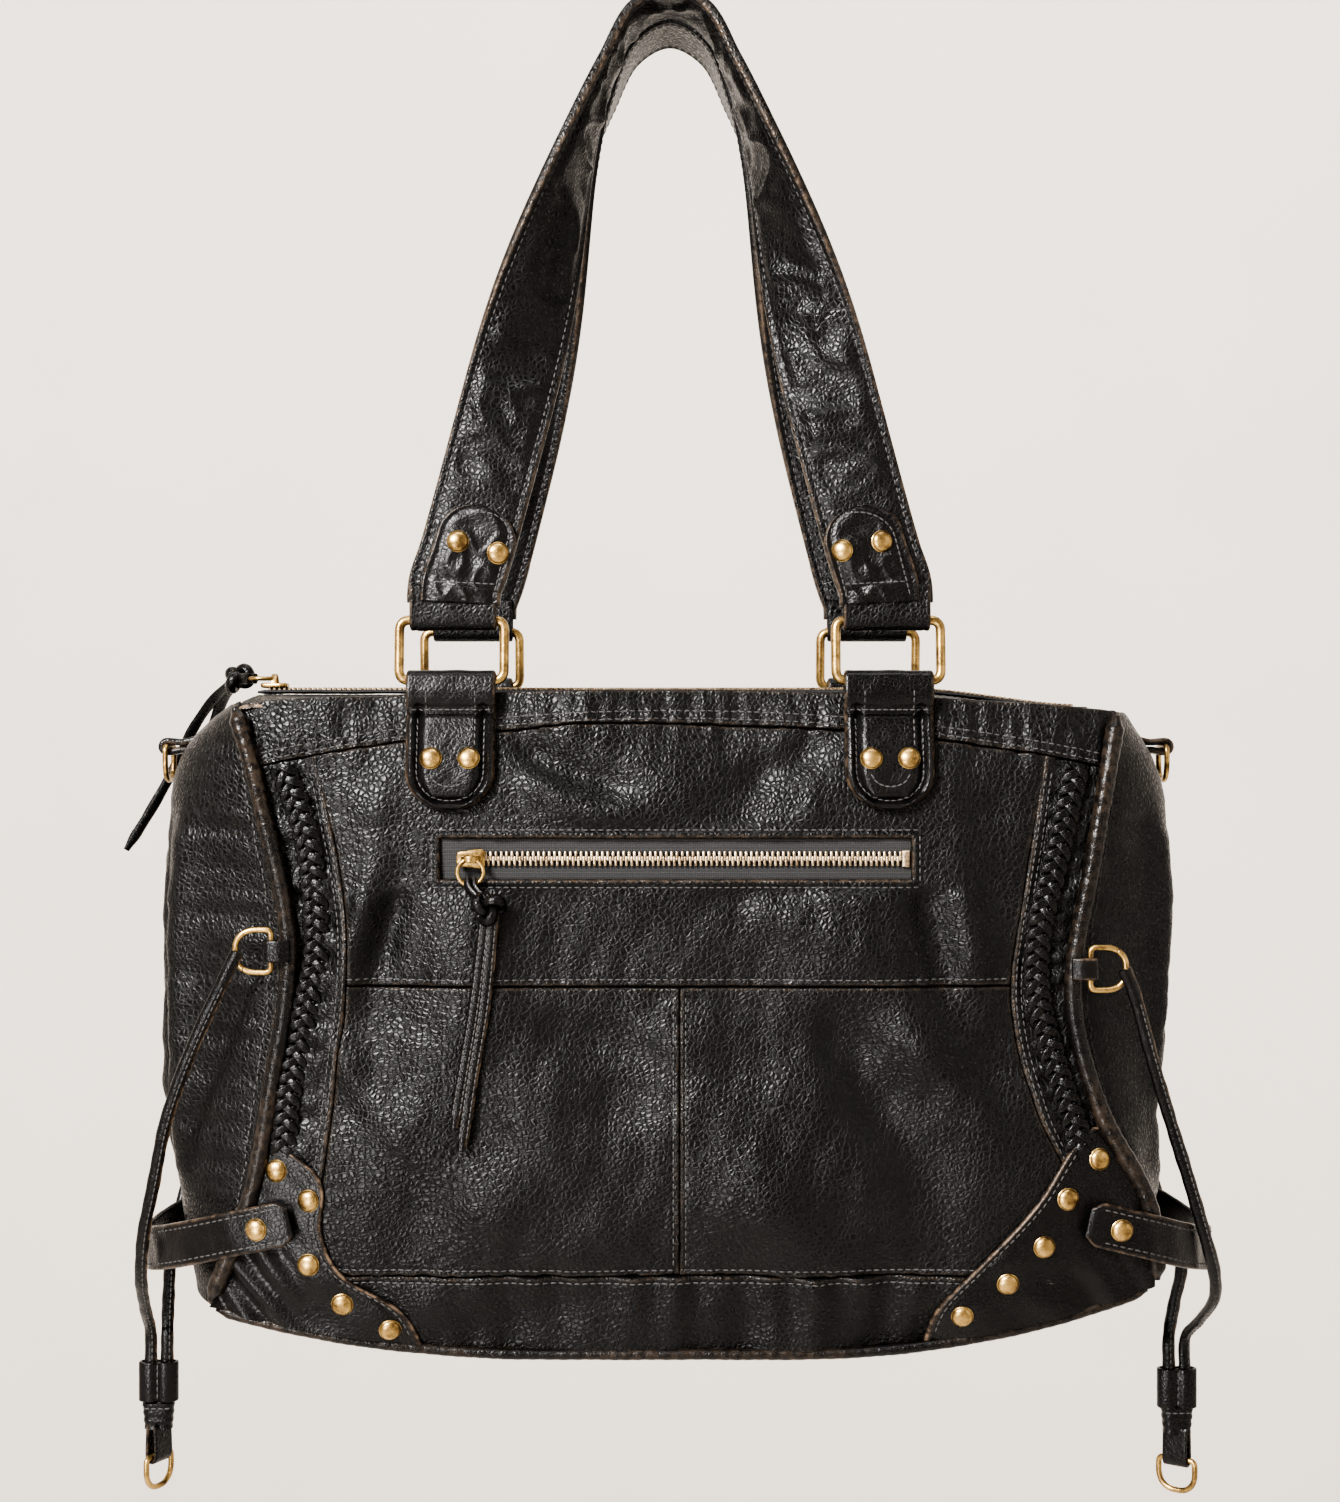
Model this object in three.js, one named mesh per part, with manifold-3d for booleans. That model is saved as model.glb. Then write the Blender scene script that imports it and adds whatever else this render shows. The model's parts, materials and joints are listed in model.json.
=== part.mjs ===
// A slouchy leather satchel hanging by its two straps. Millimetres, +Z up, +X to the right, +Y to the rear.
// The origin is where the straps' undersides rest on what they hang from.
import * as THREE from "three";
import { mergeVertices } from "three/addons/utils/BufferGeometryUtils.js";
import Module from "manifold-3d";

// ---- driving dimensions ----
const WALL = 2.2; // leather with its backing
const GAP = 0.35; // air between pieces that touch in the real bag
const TOP_Z = -306; // where the walls end and the zipped top begins
const BASE_Z = -584; // underside of the flat base
const SEAM_T = 0.0015; // half the gap at a seam, as a share of the front's width
const EDGE_T = 0.012; // from the corner piping to a front panel's edge
const STRIP_T = 0.076; // width of the gathered strips beside the piping
const LINING_INSET = 9;
const LINING_WALL = 0.8;
const PIPING_R = 2.3;
const RING_X = 93; // strap rings, left and right of the middle
const RING_BAR_Y = -52;
const RING_BAR_Z = -297;
const RING_RISE = 26; // lower bar to upper bar
const RING_WIDTH = 44.7; // between the middles of the side wires
const RING_WIRE = 1.65;
const RING_LEAN = THREE.MathUtils.degToRad(6);
const STRAP_WIDTH = 40;
const STRAP_THICK = 4.5;
const RING_CORNER = 3;
const TAB_WIDTH = 38;
const STUD_R = 4.5;
const STUD_RISE = 2.6;
const DRING_WIRE = 1.3;
const DRING_WIDTH = 18;
const DRING_DEPTH = 15;
const CORD_R = 2.4;
const THONG_R = 1.6;
const ZIP_X = [-97, 102];
const ZIP_Z = -372.5;
const ZIP_WINDOW = 17;
const ZIP_SLIDER_X = -84;
const ZIP_FRONT_Y = -58.9;
const PLACKET_Y = 46; // hinge line of each half of the zipped top
const PLACKET_X = [-187, 189];
const PLACKET_Z = [-305, -301];
const TOP_SLIDER_X = -177;

const wasm = await Module();
wasm.setup();

// ---- finishes ----
const finish = (color, roughness, metalness) => () =>
  new THREE.MeshStandardMaterial({ color, roughness, metalness });
const leather = finish(0x1a1718, 0.48, 0);
const trim = finish(0x151314, 0.42, 0);
const cloth = finish(0x27211e, 0.9, 0);
const brass = finish(0x8a6a38, 0.35, 1);
const tape = finish(0x111111, 0.8, 0);

// ---- helpers ----
const { lerp, smoothstep } = THREE.MathUtils;
const V = (x, y, z) => new THREE.Vector3(x, y, z);

// A smooth value along a short list of [z, value] knots, z falling.
function profile(knots) {
  const slope = (i) => {
    const a = knots[Math.max(i - 1, 0)];
    const b = knots[Math.min(i + 1, knots.length - 1)];
    return (b[1] - a[1]) / (b[0] - a[0]);
  };
  return (z) => {
    let i = 0;
    while (i < knots.length - 2 && z < knots[i + 1][0]) i++;
    const [z0, v0] = knots[i];
    const [z1, v1] = knots[i + 1];
    const h = z1 - z0;
    const u = Math.min(Math.max((z - z0) / h, 0), 1);
    const blend = u * u * (3 - 2 * u);
    const lean = u * (1 - u) * h;
    return lerp(v0, v1, blend) + lean * ((1 - u) * slope(i) - u * slope(i + 1));
  };
}

// Shared vertices merged, and the slivers that merging flattens left out.
function bare(geometry) {
  const g = geometry.clone();
  for (const name of ["normal", "uv"]) g.deleteAttribute(name);
  const merged = mergeVertices(g, 1e-3);
  const faces = [];
  for (let i = 0; i < merged.index.count; i += 3) {
    const [a, b, c] = [0, 1, 2].map((k) => merged.index.getX(i + k));
    if (a !== b && b !== c && c !== a) faces.push(a, b, c);
  }
  return merged.setIndex(faces);
}

function solid(geometry) {
  const g = bare(geometry);
  return new wasm.Manifold(
    new wasm.Mesh({
      numProp: 3,
      vertProperties: new Float32Array(g.attributes.position.array),
      triVerts: new Uint32Array(g.index.array),
    }),
  );
}

function fromSolid(s) {
  const m = s.getMesh();
  return new THREE.BufferGeometry()
    .setAttribute("position", new THREE.BufferAttribute(m.vertProperties.slice(), 3))
    .setIndex(new THREE.BufferAttribute(m.triVerts.slice(), 1));
}

const join = (...pieces) => fromSolid(pieces.map(solid).reduce((a, b) => a.add(b)));
const cut = (piece, tool) => fromSolid(solid(piece).subtract(solid(tool)));
const keep = (piece, tool) => fromSolid(solid(piece).intersect(solid(tool)));

// Turns every face round when a mapped shape came out inside out.
function facingOut(geometry) {
  const g = bare(geometry);
  const p = g.attributes.position;
  const at = (i) => V().fromBufferAttribute(p, g.index.getX(i));
  let volume = 0;
  for (let i = 0; i < g.index.count; i += 3)
    volume += at(i).dot(at(i + 1).cross(at(i + 2)));
  if (volume < 0)
    for (let i = 0; i < g.index.count; i += 3) {
      const swap = g.index.getX(i + 1);
      g.index.setX(i + 1, g.index.getX(i + 2));
      g.index.setX(i + 2, swap);
    }
  return g;
}

// A closed curved slab: point(u, v, w) for u, v and w from 0 to 1.
function slab(nu, nv, point) {
  const g = new THREE.BoxGeometry(1, 1, 1, nu, nv, 1);
  const p = g.attributes.position;
  for (let i = 0; i < p.count; i++) {
    const q = point(p.getX(i) + 0.5, p.getY(i) + 0.5, p.getZ(i) + 0.5);
    p.setXYZ(i, q.x, q.y, q.z);
  }
  return facingOut(g);
}

function box(x, y, z) {
  const g = new THREE.BoxGeometry(x[1] - x[0], y[1] - y[0], z[1] - z[0]);
  return g.translate((x[0] + x[1]) / 2, (y[0] + y[1]) / 2, (z[0] + z[1]) / 2);
}

// An open tube with flat ends along points chosen by hand.
function tube(points, radius, sides, steps) {
  const section = new THREE.Shape();
  for (let i = 0; i < sides; i++) {
    const a = (2 * Math.PI * i) / sides;
    section[i ? "lineTo" : "moveTo"](radius * Math.cos(a), radius * Math.sin(a));
  }
  const extrudePath = new THREE.CatmullRomCurve3(points.map((q) => V(...q)), false, "centripetal");
  return facingOut(new THREE.ExtrudeGeometry(section, { steps, extrudePath }));
}

// A closed wire ring whose middle line is a flat closed path in XZ.
function wireRing(path, radius, sides, steps) {
  const line = path.getSpacedPoints(steps).slice(0, steps);
  const g = new THREE.TorusGeometry(2, 1, sides, steps);
  const p = g.attributes.position;
  for (let k = 0; k < p.count; k++) {
    const i = k % (steps + 1);
    const around = (2 * Math.PI * Math.floor(k / (steps + 1))) / sides;
    const here = line[i % steps];
    const before = line[(i + steps - 1) % steps];
    const after = line[(i + 1) % steps];
    const out = new THREE.Vector2(after.y - before.y, before.x - after.x).normalize();
    const reach = radius * Math.cos(around);
    p.setXYZ(k, here.x + reach * out.x, radius * Math.sin(around), here.y + reach * out.y);
  }
  return facingOut(g);
}

// Rounded rectangle, its lower bar's middle at the origin, rising along +Z.
function rectanglePath(width, rise, corner) {
  const x = width / 2;
  const path = new THREE.Path().moveTo(0, 0).lineTo(x - corner, 0);
  path.absarc(x - corner, corner, corner, -Math.PI / 2, 0);
  path.lineTo(x, rise - corner).absarc(x - corner, rise - corner, corner, 0, Math.PI / 2);
  path.lineTo(corner - x, rise).absarc(corner - x, rise - corner, corner, Math.PI / 2, Math.PI);
  path.lineTo(-x, corner).absarc(corner - x, corner, corner, Math.PI, 1.5 * Math.PI);
  return path.lineTo(0, 0);
}

// D shape, its straight bar along X through the origin and its bow hanging along -Z.
function dPath(width, depth) {
  const x = width / 2;
  const corner = 3;
  const path = new THREE.Path().moveTo(0, 0).lineTo(corner - x, 0);
  path.absarc(corner - x, -corner, corner, Math.PI / 2, Math.PI);
  path.absellipse(0, -corner, x, depth - corner, Math.PI, 2 * Math.PI);
  path.absarc(x - corner, -corner, corner, 0, Math.PI / 2);
  return path.lineTo(0, 0);
}

// The outline as plain points, without the doubled ones where an arc meets a line.
function outlineOf(shape, curveSegments) {
  const { shape: rim, holes } = shape.extractPoints(curveSegments);
  const plain = (line) => line.filter((q, i) => q.distanceTo(line[(i + 1) % line.length]) > 1e-4);
  const out = new THREE.Shape(plain(rim));
  out.holes = holes.map((line) => new THREE.Path(plain(line)));
  return out;
}

function extrude(shape, depth, curveSegments = 6) {
  return new THREE.ExtrudeGeometry(outlineOf(shape, curveSegments), { depth, bevelEnabled: false });
}

// A flat outline in XZ extruded from y = 0 to y = depth.
function plate(shape, depth, curveSegments) {
  return extrude(shape, depth, curveSegments).rotateX(Math.PI / 2).translate(0, depth, 0);
}

// A profile in YZ extruded along X, centred.
function prism(shape, width, curveSegments) {
  const basis = new THREE.Matrix4().makeBasis(V(0, 1, 0), V(0, 0, 1), V(1, 0, 0));
  return extrude(shape, width, curveSegments).translate(0, 0, -width / 2).applyMatrix4(basis);
}

function hole(shape, x, y, radius, sides = 12) {
  const rim = Array.from({ length: sides }, (_, i) => {
    const a = (2 * Math.PI * i) / sides;
    return new THREE.Vector2(x + radius * Math.cos(a), y + radius * Math.sin(a));
  });
  shape.holes.push(new THREE.Path(rim));
  return shape;
}

// A domed stud facing -Y with its foot at a point.
function stud(at, normal = V(0, -1, 0)) {
  const rows = [V(0, -1.2, 0), V(STUD_R, -1.2, 0), V(STUD_R, 0.4, 0), V(STUD_R * 0.72, STUD_RISE * 0.75, 0)];
  rows.push(V(0, STUD_RISE, 0));
  const g = new THREE.LatheGeometry(rows.map((q) => new THREE.Vector2(q.x, q.y)), 8);
  const turn = new THREE.Quaternion().setFromUnitVectors(V(0, 1, 0), normal);
  return facingOut(g.applyQuaternion(turn).translate(at.x, at.y, at.z));
}

// ---- the bag's outer form ----
const frontLeftX = profile([[-303, -187], [-343, -175], [-410, -161], [-470, -168], [-520, -178], [-580, -203]]);
const frontRightX = profile([[-303, 192], [-373, 179], [-430, 170], [-478, 181], [-520, 202], [-580, 206]]);
const leftBulgeX = profile([[-303, -190], [-322, -213], [-350, -223], [-430, -226], [-490, -223], [-545, -213], [-580, -204]]);
const rightBulgeX = profile([[-303, 195], [-322, 210], [-350, 221], [-410, 223], [-476, 217], [-530, 213], [-580, 207]]);
const halfDepth = profile([[-303, 44], [-345, 50], [-430, 54], [-520, 57], [-580, 52]]);
const crown = profile([[-303, 4], [-345, 8], [-430, 10], [-520, 12], [-580, 6]]);

const topZ = (s) => TOP_Z - (s > 0 ? 6 * s * s : 0);
const yokeZ = (s) => -315 - 19 * s * s;
const baseRise = (s) => (s < 0 ? 19 : 28) * Math.max(0, (Math.abs(s) - 0.25) / 0.75) ** 2;
const wallEndZ = (s) => BASE_Z + WALL + GAP + baseRise(s);

// A point on the front (side -1) or rear (side 1) wall: s from -1 at the left corner to 1 at the right.
function facePoint(s, z, inset, side) {
  const t = (s + 1) / 2;
  const x = lerp(frontLeftX(z) + inset, frontRightX(z) - inset, t);
  const y = halfDepth(z) - inset + crown(z) * (1 - s ** 4);
  return V(x, side * y, z);
}

const shareAt = (x, z) => (2 * (x - frontLeftX(z))) / (frontRightX(z) - frontLeftX(z)) - 1;

// A point on the left (side -1) or right (side 1) gusset: q from 0 at the front corner to 1 at the rear.
function gussetPoint(q, z, inset, side) {
  const edge = side < 0 ? frontLeftX(z) : frontRightX(z);
  const bulge = (side < 0 ? leftBulgeX(z) : rightBulgeX(z)) - edge;
  const swell = 1 - Math.abs(2 * q - 1) ** 2.4;
  const y = lerp(inset - halfDepth(z), halfDepth(z) - inset, q);
  return V(edge - side * inset + bulge * swell, y, z);
}

// A panel of the front or rear between two shares of the width and two edge lines.
function facePanel(t0, t1, upper, lower, nu, nv, side = -1) {
  return slab(nu, nv, (u, v, w) => {
    const s = 2 * lerp(t0, t1, u) - 1;
    return facePoint(s, lerp(upper(s), lower(s), v), w * WALL, side);
  });
}

const level = (z) => () => z;
const below = (line) => (s) => line(s) - 2 * GAP;

// ---- assembly ----
const bag = new THREE.Group();
bag.name = "satchel_bag";

function add(name, geometry, material, mirror = [1, 1, 1]) {
  const mesh = new THREE.Mesh(geometry, material());
  mesh.name = name;
  mesh.scale.set(...mirror);
  bag.add(mesh);
  return mesh;
}

// front panels
const H_SEAM = -426;
const LOW_SEAM = -548;
const V_SEAM_T = 0.507;
const zipWindow = box(ZIP_X, [-70, -50], [ZIP_Z - ZIP_WINDOW / 2, ZIP_Z + ZIP_WINDOW / 2]);
const inner0 = STRIP_T + SEAM_T;
const inner1 = 1 - inner0;
add("front_yoke", facePanel(EDGE_T, 1 - EDGE_T, topZ, yokeZ, 12, 1), leather);
add("front_upper_panel", cut(facePanel(inner0, inner1, below(yokeZ), level(H_SEAM), 10, 6), zipWindow), leather);
add("front_lower_left_panel",
  facePanel(inner0, V_SEAM_T - SEAM_T, level(H_SEAM - 2 * GAP), level(LOW_SEAM), 5, 6), leather);
add("front_lower_right_panel",
  facePanel(V_SEAM_T + SEAM_T, inner1, level(H_SEAM - 2 * GAP), level(LOW_SEAM), 5, 6), leather);
add("front_bottom_band", facePanel(inner0, inner1, level(LOW_SEAM - 2 * GAP), wallEndZ, 12, 2), leather);
add("left_gathered_strip", facePanel(EDGE_T, STRIP_T - SEAM_T, below(yokeZ), wallEndZ, 1, 12), leather);
add("right_gathered_strip", facePanel(1 - STRIP_T + SEAM_T, 1 - EDGE_T, below(yokeZ), wallEndZ, 1, 12), leather);
add("rear_panel", facePanel(EDGE_T, 1 - EDGE_T, topZ, wallEndZ, 10, 9, 1), leather);

// base
add("bottom_panel", slab(12, 4, (u, v, w) => {
  const s = 1.96 * u - 0.98;
  const rim = facePoint(s, wallEndZ(s), 2, 1);
  return V(rim.x, lerp(-rim.y, rim.y, v), BASE_Z + baseRise(s) + w * WALL);
}), leather);

// gussets, each with the loop for its upper D-ring
const UPPER_RING = { y: 13, z: -325, left: -227, right: 223.5 };
function gusset(side) {
  const s = side;
  const wall = slab(8, 9, (u, v, w) =>
    gussetPoint(lerp(0.035, 0.965, u), lerp(topZ(s), wallEndZ(s), v), w * WALL, side));
  const x = Math.abs(side < 0 ? UPPER_RING.left : UPPER_RING.right);
  const root = x - 20;
  const shape = new THREE.Shape().moveTo(root, 9).lineTo(x, 4).absarc(x, 0, 4, Math.PI / 2, -Math.PI / 2, true);
  shape.lineTo(root + 9, -3).lineTo(root + 3, 0);
  const loop = prism(hole(shape, x, 0, DRING_WIRE + 0.5), 12);
  loop.rotateZ(side < 0 ? Math.PI / 2 : -Math.PI / 2).translate(0, UPPER_RING.y, UPPER_RING.z);
  return join(wall, loop);
}
add("left_gusset", gusset(-1), leather);
add("right_gusset", gusset(1), leather);

// lining, an open-topped sack
const LINING_ROWS = 6;
function liningPoint(turn, row) {
  const inside = row > LINING_ROWS + 1;
  const depth = inside ? 2 * LINING_ROWS + 3 - row : row;
  const inset = LINING_INSET + (inside ? LINING_WALL : 0);
  const lift = inside ? LINING_WALL : 0;
  if (depth === 0) return V(2, 0, BASE_Z + 9 + lift);
  const v = 1 - (depth - 1) / LINING_ROWS;
  const t = (turn * 4) % 4;
  const face = Math.floor(t);
  const q = t - face;
  const s = [2 * q - 1, 1, 1 - 2 * q, -1][face];
  const z = lerp(topZ(s) - 5, wallEndZ(s) + 6 + lift, v);
  if (face === 0) return facePoint(s, z, inset, -1);
  if (face === 2) return facePoint(s, z, inset, 1);
  return gussetPoint(face === 1 ? q : 1 - q, z, inset, face === 1 ? 1 : -1);
}
function liningShell(steps) {
  const rows = Array.from({ length: 2 * LINING_ROWS + 4 }, (_, j) => new THREE.Vector2(j, j));
  const g = new THREE.LatheGeometry(rows, steps);
  const p = g.attributes.position;
  for (let k = 0; k < p.count; k++) {
    const turn = Math.floor(k / rows.length) / steps;
    const q = liningPoint(turn, k % rows.length);
    p.setXYZ(k, q.x, q.y, q.z);
  }
  return facingOut(g);
}
add("lining", liningShell(24), cloth);

// piping in the four corner seams
function piping(side) {
  const points = [];
  for (let i = 0; i <= 10; i++) {
    const z = lerp(TOP_Z - 2, wallEndZ(side) - 1, i / 10);
    const edge = side < 0 ? frontLeftX(z) : frontRightX(z);
    points.push([edge - side * 0.8, 0.8 - halfDepth(z), z]);
  }
  return tube(points, PIPING_R, 6, 14);
}
for (const [name, side] of [["left", -1], ["right", 1]]) {
  add(`front_${name}_piping`, piping(side), trim);
  add(`rear_${name}_piping`, piping(side), trim, [1, -1, 1]);
}

// studded corner patches
const PATCH_LIFT = GAP + 0.1;
const PATCH_THICK = 1.8;
const CORNERS = {
  left: {
    side: -1,
    topZ: -491,
    edge: profile([[-491, -168], [-507, -147], [-530, -146], [-548, -137], [-563, -113], [-584, -102]]),
    studs: [[-166, -504], [-152, -516], [-152, -543], [-138, -560], [-118, -571]],
  },
  right: {
    side: 1,
    topZ: -486,
    edge: profile([[-486, 178], [-496, 168], [-518, 153], [-547, 126], [-563, 112], [-584, 106]]),
    studs: [[181, -499], [167, -515], [157, -535], [142, -551], [123, -565]],
  },
};
function cornerPatch({ side, topZ: upper, edge, studs }) {
  const patch = slab(3, 7, (u, v, w) => {
    const z = lerp(upper, wallEndZ(side * 0.8) + 2, v);
    const s = lerp(side * (1 - 2 * EDGE_T), shareAt(edge(z), z), u);
    return facePoint(s, z, -PATCH_LIFT - PATCH_THICK * w, -1);
  });
  const domes = studs.map(([x, z]) => stud(facePoint(shareAt(x, z), z, -PATCH_LIFT - PATCH_THICK, -1)));
  return join(patch, ...domes);
}
for (const [name, corner] of Object.entries(CORNERS)) {
  add(`front_${name}_corner_patch`, cornerPatch(corner), trim);
  add(`rear_${name}_corner_patch`, cornerPatch(corner), trim, [1, -1, 1]);
}

// A flat band along a line: across(k) is its width direction and out its thickness direction.
function band(steps, frameAt, width, thick, across = 2) {
  return slab(steps, across, (u, v, w) => {
    const { at, wide, out } = frameAt(u);
    return at.clone().addScaledVector(wide, (v - 0.5) * width).addScaledVector(out, (w - 0.5) * thick);
  });
}

// side straps, standing off each end of the bag
const SIDE_STRAP_WIDTH = 19;
const SIDE_STRAP_THICK = 2.2;
const SIDE_STRAPS = {
  left: [[-159, -68.6, -524], [-171, -66.8, -527], [-187, -62, -531], [-204, -53, -536],
    [-219, -39, -541], [-229.5, -20, -545], [-233, 0, -547]],
  right: [[175, -69.4, -524], [187, -68.6, -527], [202, -65.5, -531], [216, -56, -536],
    [229, -39, -541], [237, -19, -545], [239, 0, -547]],
};
function sideStrap(half) {
  const rear = half.slice(0, -1).reverse().map(([x, y, z]) => [x, -y, z]);
  const line = new THREE.CatmullRomCurve3([...half, ...rear].map((q) => V(...q)), false, "centripetal");
  const outward = Math.sign(half[0][0]);
  return band(20, (u) => {
    const run = line.getTangentAt(u);
    const out = run.clone().cross(V(0, 0, 1)).normalize().multiplyScalar(outward);
    return { at: line.getPointAt(u), wide: out.clone().cross(run).normalize(), out };
  }, SIDE_STRAP_WIDTH, SIDE_STRAP_THICK, 1);
}
for (const [name, half] of Object.entries(SIDE_STRAPS)) add(`${name}_side_strap`, sideStrap(half), trim);

// strap ring tabs: a padded tongue on the face whose top loops over the ring's lower bar
const TAB_LOW_Z = -352;
const TAB_THICK = 3;
function ringTab(side) {
  const clear = (z) => facePoint(shareAt(side * (RING_X - TAB_WIDTH / 2), z), z, -GAP - 0.3, -1).y;
  const foot = TAB_LOW_Z;
  const loop = RING_WIRE + 3.1;
  const shape = new THREE.Shape().moveTo(clear(foot), foot).lineTo(clear(-330), -330);
  shape.lineTo(clear(-311), -311).lineTo(RING_BAR_Y + loop, RING_BAR_Z);
  shape.absarc(RING_BAR_Y, RING_BAR_Z, loop, 0, Math.PI);
  shape.lineTo(clear(-311) - TAB_THICK - 1.2, -313).lineTo(clear(-330) - TAB_THICK, -330);
  shape.lineTo(clear(foot) - TAB_THICK, foot);
  const tongue = prism(hole(shape, RING_BAR_Y, RING_BAR_Z, RING_WIRE + 0.5), TAB_WIDTH);
  const r = TAB_WIDTH / 2;
  const outline = new THREE.Shape().moveTo(-r, RING_BAR_Z + 10).lineTo(-r, foot + r * 0.8);
  outline.absellipse(0, foot + r * 0.8, r, r * 0.8, Math.PI, 2 * Math.PI).lineTo(r, RING_BAR_Z + 10);
  const stencil = plate(outline, 60, 8).translate(0, -90, 0);
  const domes = [-8, 8].map((x) => stud(V(x, clear(-330) - TAB_THICK, -330)));
  return join(keep(tongue, stencil), ...domes).translate(side * RING_X, 0, 0);
}

// strap rings
const ringPath = rectanglePath(RING_WIDTH, RING_RISE, RING_CORNER);
for (const [side, name] of [[-1, "left"], [1, "right"]])
  for (const [mirror, face] of [[1, "front"], [-1, "rear"]]) {
    add(`${face}_${name}_ring_tab`, ringTab(side), trim, [1, mirror, 1]);
    const ring = add(`${face}_${name}_ring`, wireRing(ringPath, RING_WIRE, 6, 26), brass, [1, mirror, 1]);
    ring.rotation.x = -mirror * RING_LEAN;
    ring.position.set(side * RING_X, mirror * RING_BAR_Y, RING_BAR_Z);
  }

// shoulder straps: flat across the rings, turned a quarter where they rest at the top
const RING_TOP = V(0, RING_BAR_Y + RING_RISE * Math.sin(RING_LEAN), RING_BAR_Z + RING_RISE * Math.cos(RING_LEAN));
const STRAP_HALF = [[-92.3, RING_TOP.y, -264.5], [-91.8, -49, -257], [-87.5, -48.5, -244], [-75, -45, -197], [-56.5, -38.5, -125],
  [-39, -31, -62], [-28, -25.5, -30], [-16.5, -22.3, -6.5], [0, -22, STRAP_THICK / 2 + 0.05]];
const strapLine = (() => {
  const other = STRAP_HALF.slice(0, -1).reverse().map(([x, y, z]) => [-x, y, z]);
  return new THREE.CatmullRomCurve3([...STRAP_HALF, ...other].map((q) => V(...q)), false, "centripetal");
})();
function strapFrame(u) {
  const at = strapLine.getPointAt(u);
  const run = strapLine.getTangentAt(u);
  const side = u < 0.5 ? 1 : -1;
  const quarter = smoothstep(-at.z, -10, 215);
  const flat = V(0, -1, 0).addScaledVector(run, run.y).normalize(); // towards the viewer of the front
  const turned = run.clone().cross(flat);
  const angle = (quarter * Math.PI) / 2;
  const wide = flat.multiplyScalar(Math.cos(angle)).addScaledVector(turned, -side * Math.sin(angle) * side);
  return { at, wide, out: run.clone().cross(wide).normalize() };
}
function shoulderStrap() {
  const ribbon = band(36, strapFrame, STRAP_WIDTH, STRAP_THICK, 2);
  const loopR = RING_WIRE + 3.1;
  const shape = new THREE.Shape().moveTo(RING_TOP.y + loopR, RING_TOP.z);
  shape.lineTo(RING_TOP.y + 2.4, RING_TOP.z + 9).lineTo(RING_TOP.y - 2.4, RING_TOP.z + 9);
  shape.lineTo(RING_TOP.y - loopR, RING_TOP.z).absarc(RING_TOP.y, RING_TOP.z, loopR, Math.PI, 2 * Math.PI);
  const loops = [-1, 1].map((side) => {
    const sleeve = prism(hole(shape.clone(), RING_TOP.y, RING_TOP.z, RING_WIRE + 0.5), STRAP_WIDTH - 3);
    return sleeve.translate(side * (RING_X - 0.7), 0, 0);
  });
  const domes = [];
  for (const [side, spots] of [[-1, [[-90, -238], [-73, -243]]], [1, [[73, -242], [90, -238]]]])
    for (const [x, z] of spots) domes.push(stud(V(x, -47.6 - STRAP_THICK / 2, z)));
  return join(ribbon, ...loops, ...domes);
}
add("front_strap", shoulderStrap(), leather);
add("rear_strap", shoulderStrap(), leather, [1, -1, 1]);

// front pocket zip: tape and closed chain behind the window, slider and pull in front
const tapeBand = box([ZIP_X[0] - 5, ZIP_X[1] + 5], [-55.4, -54.4], [ZIP_Z - 13, ZIP_Z + 13]);
const chain = box([ZIP_X[0] + 8, ZIP_X[1] - 4], [ZIP_FRONT_Y, -55], [ZIP_Z - 3, ZIP_Z + 3]);
add("front_zip_tape", join(tapeBand, chain), tape);
add("front_pocket_lining", slab(6, 4, (u, v, w) => {
  const z = lerp(ZIP_Z - 20, -500, v);
  return facePoint(shareAt(lerp(-115, 120, u), z), z, 6.4 + LINING_WALL * w, -1);
}), cloth);

const PULL_RING_R = 5.5;
const PULL_WIRE = 0.9;
const BRIDGE_Y = -64.2;
function sliderShape() {
  const shape = new THREE.Shape().moveTo(-3.2, 0).lineTo(-3.2, 2.2);
  shape.absarc(0, 2.2, 2.2, Math.PI, 0, true).lineTo(3.2, 0);
  return hole(shape, 0, 2.1, PULL_WIRE + 0.4);
}
// A zip slider on the XY plane, its chain along X, with the bridge's hole along the given direction.
function slider(holeAlongX) {
  const body = box([-6, 6], [-4.3, 4.3], [0, 2.4]);
  const bridge = prism(sliderShape(), 2.4, 8).translate(0, 0, 2.2);
  return join(body, holeAlongX ? bridge : bridge.rotateZ(Math.PI / 2));
}
const frontSlider = add("front_zip_slider", slider(true), brass);
frontSlider.rotation.x = Math.PI / 2;
frontSlider.position.set(ZIP_SLIDER_X, ZIP_FRONT_Y - GAP, ZIP_Z);
const SLIDER_HOLE = 2.2 + 2.1; // height of the bridge's hole above the slider's back
const frontPullPivot = V(ZIP_SLIDER_X, ZIP_FRONT_Y - GAP - SLIDER_HOLE, ZIP_Z);
const pullCircle = new THREE.Path().absarc(0, -PULL_RING_R, PULL_RING_R, 0, 2 * Math.PI);
const frontPullRing = add("front_zip_pull_ring", wireRing(pullCircle, PULL_WIRE, 5, 12), brass);
frontPullRing.position.copy(frontPullPivot);

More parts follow.
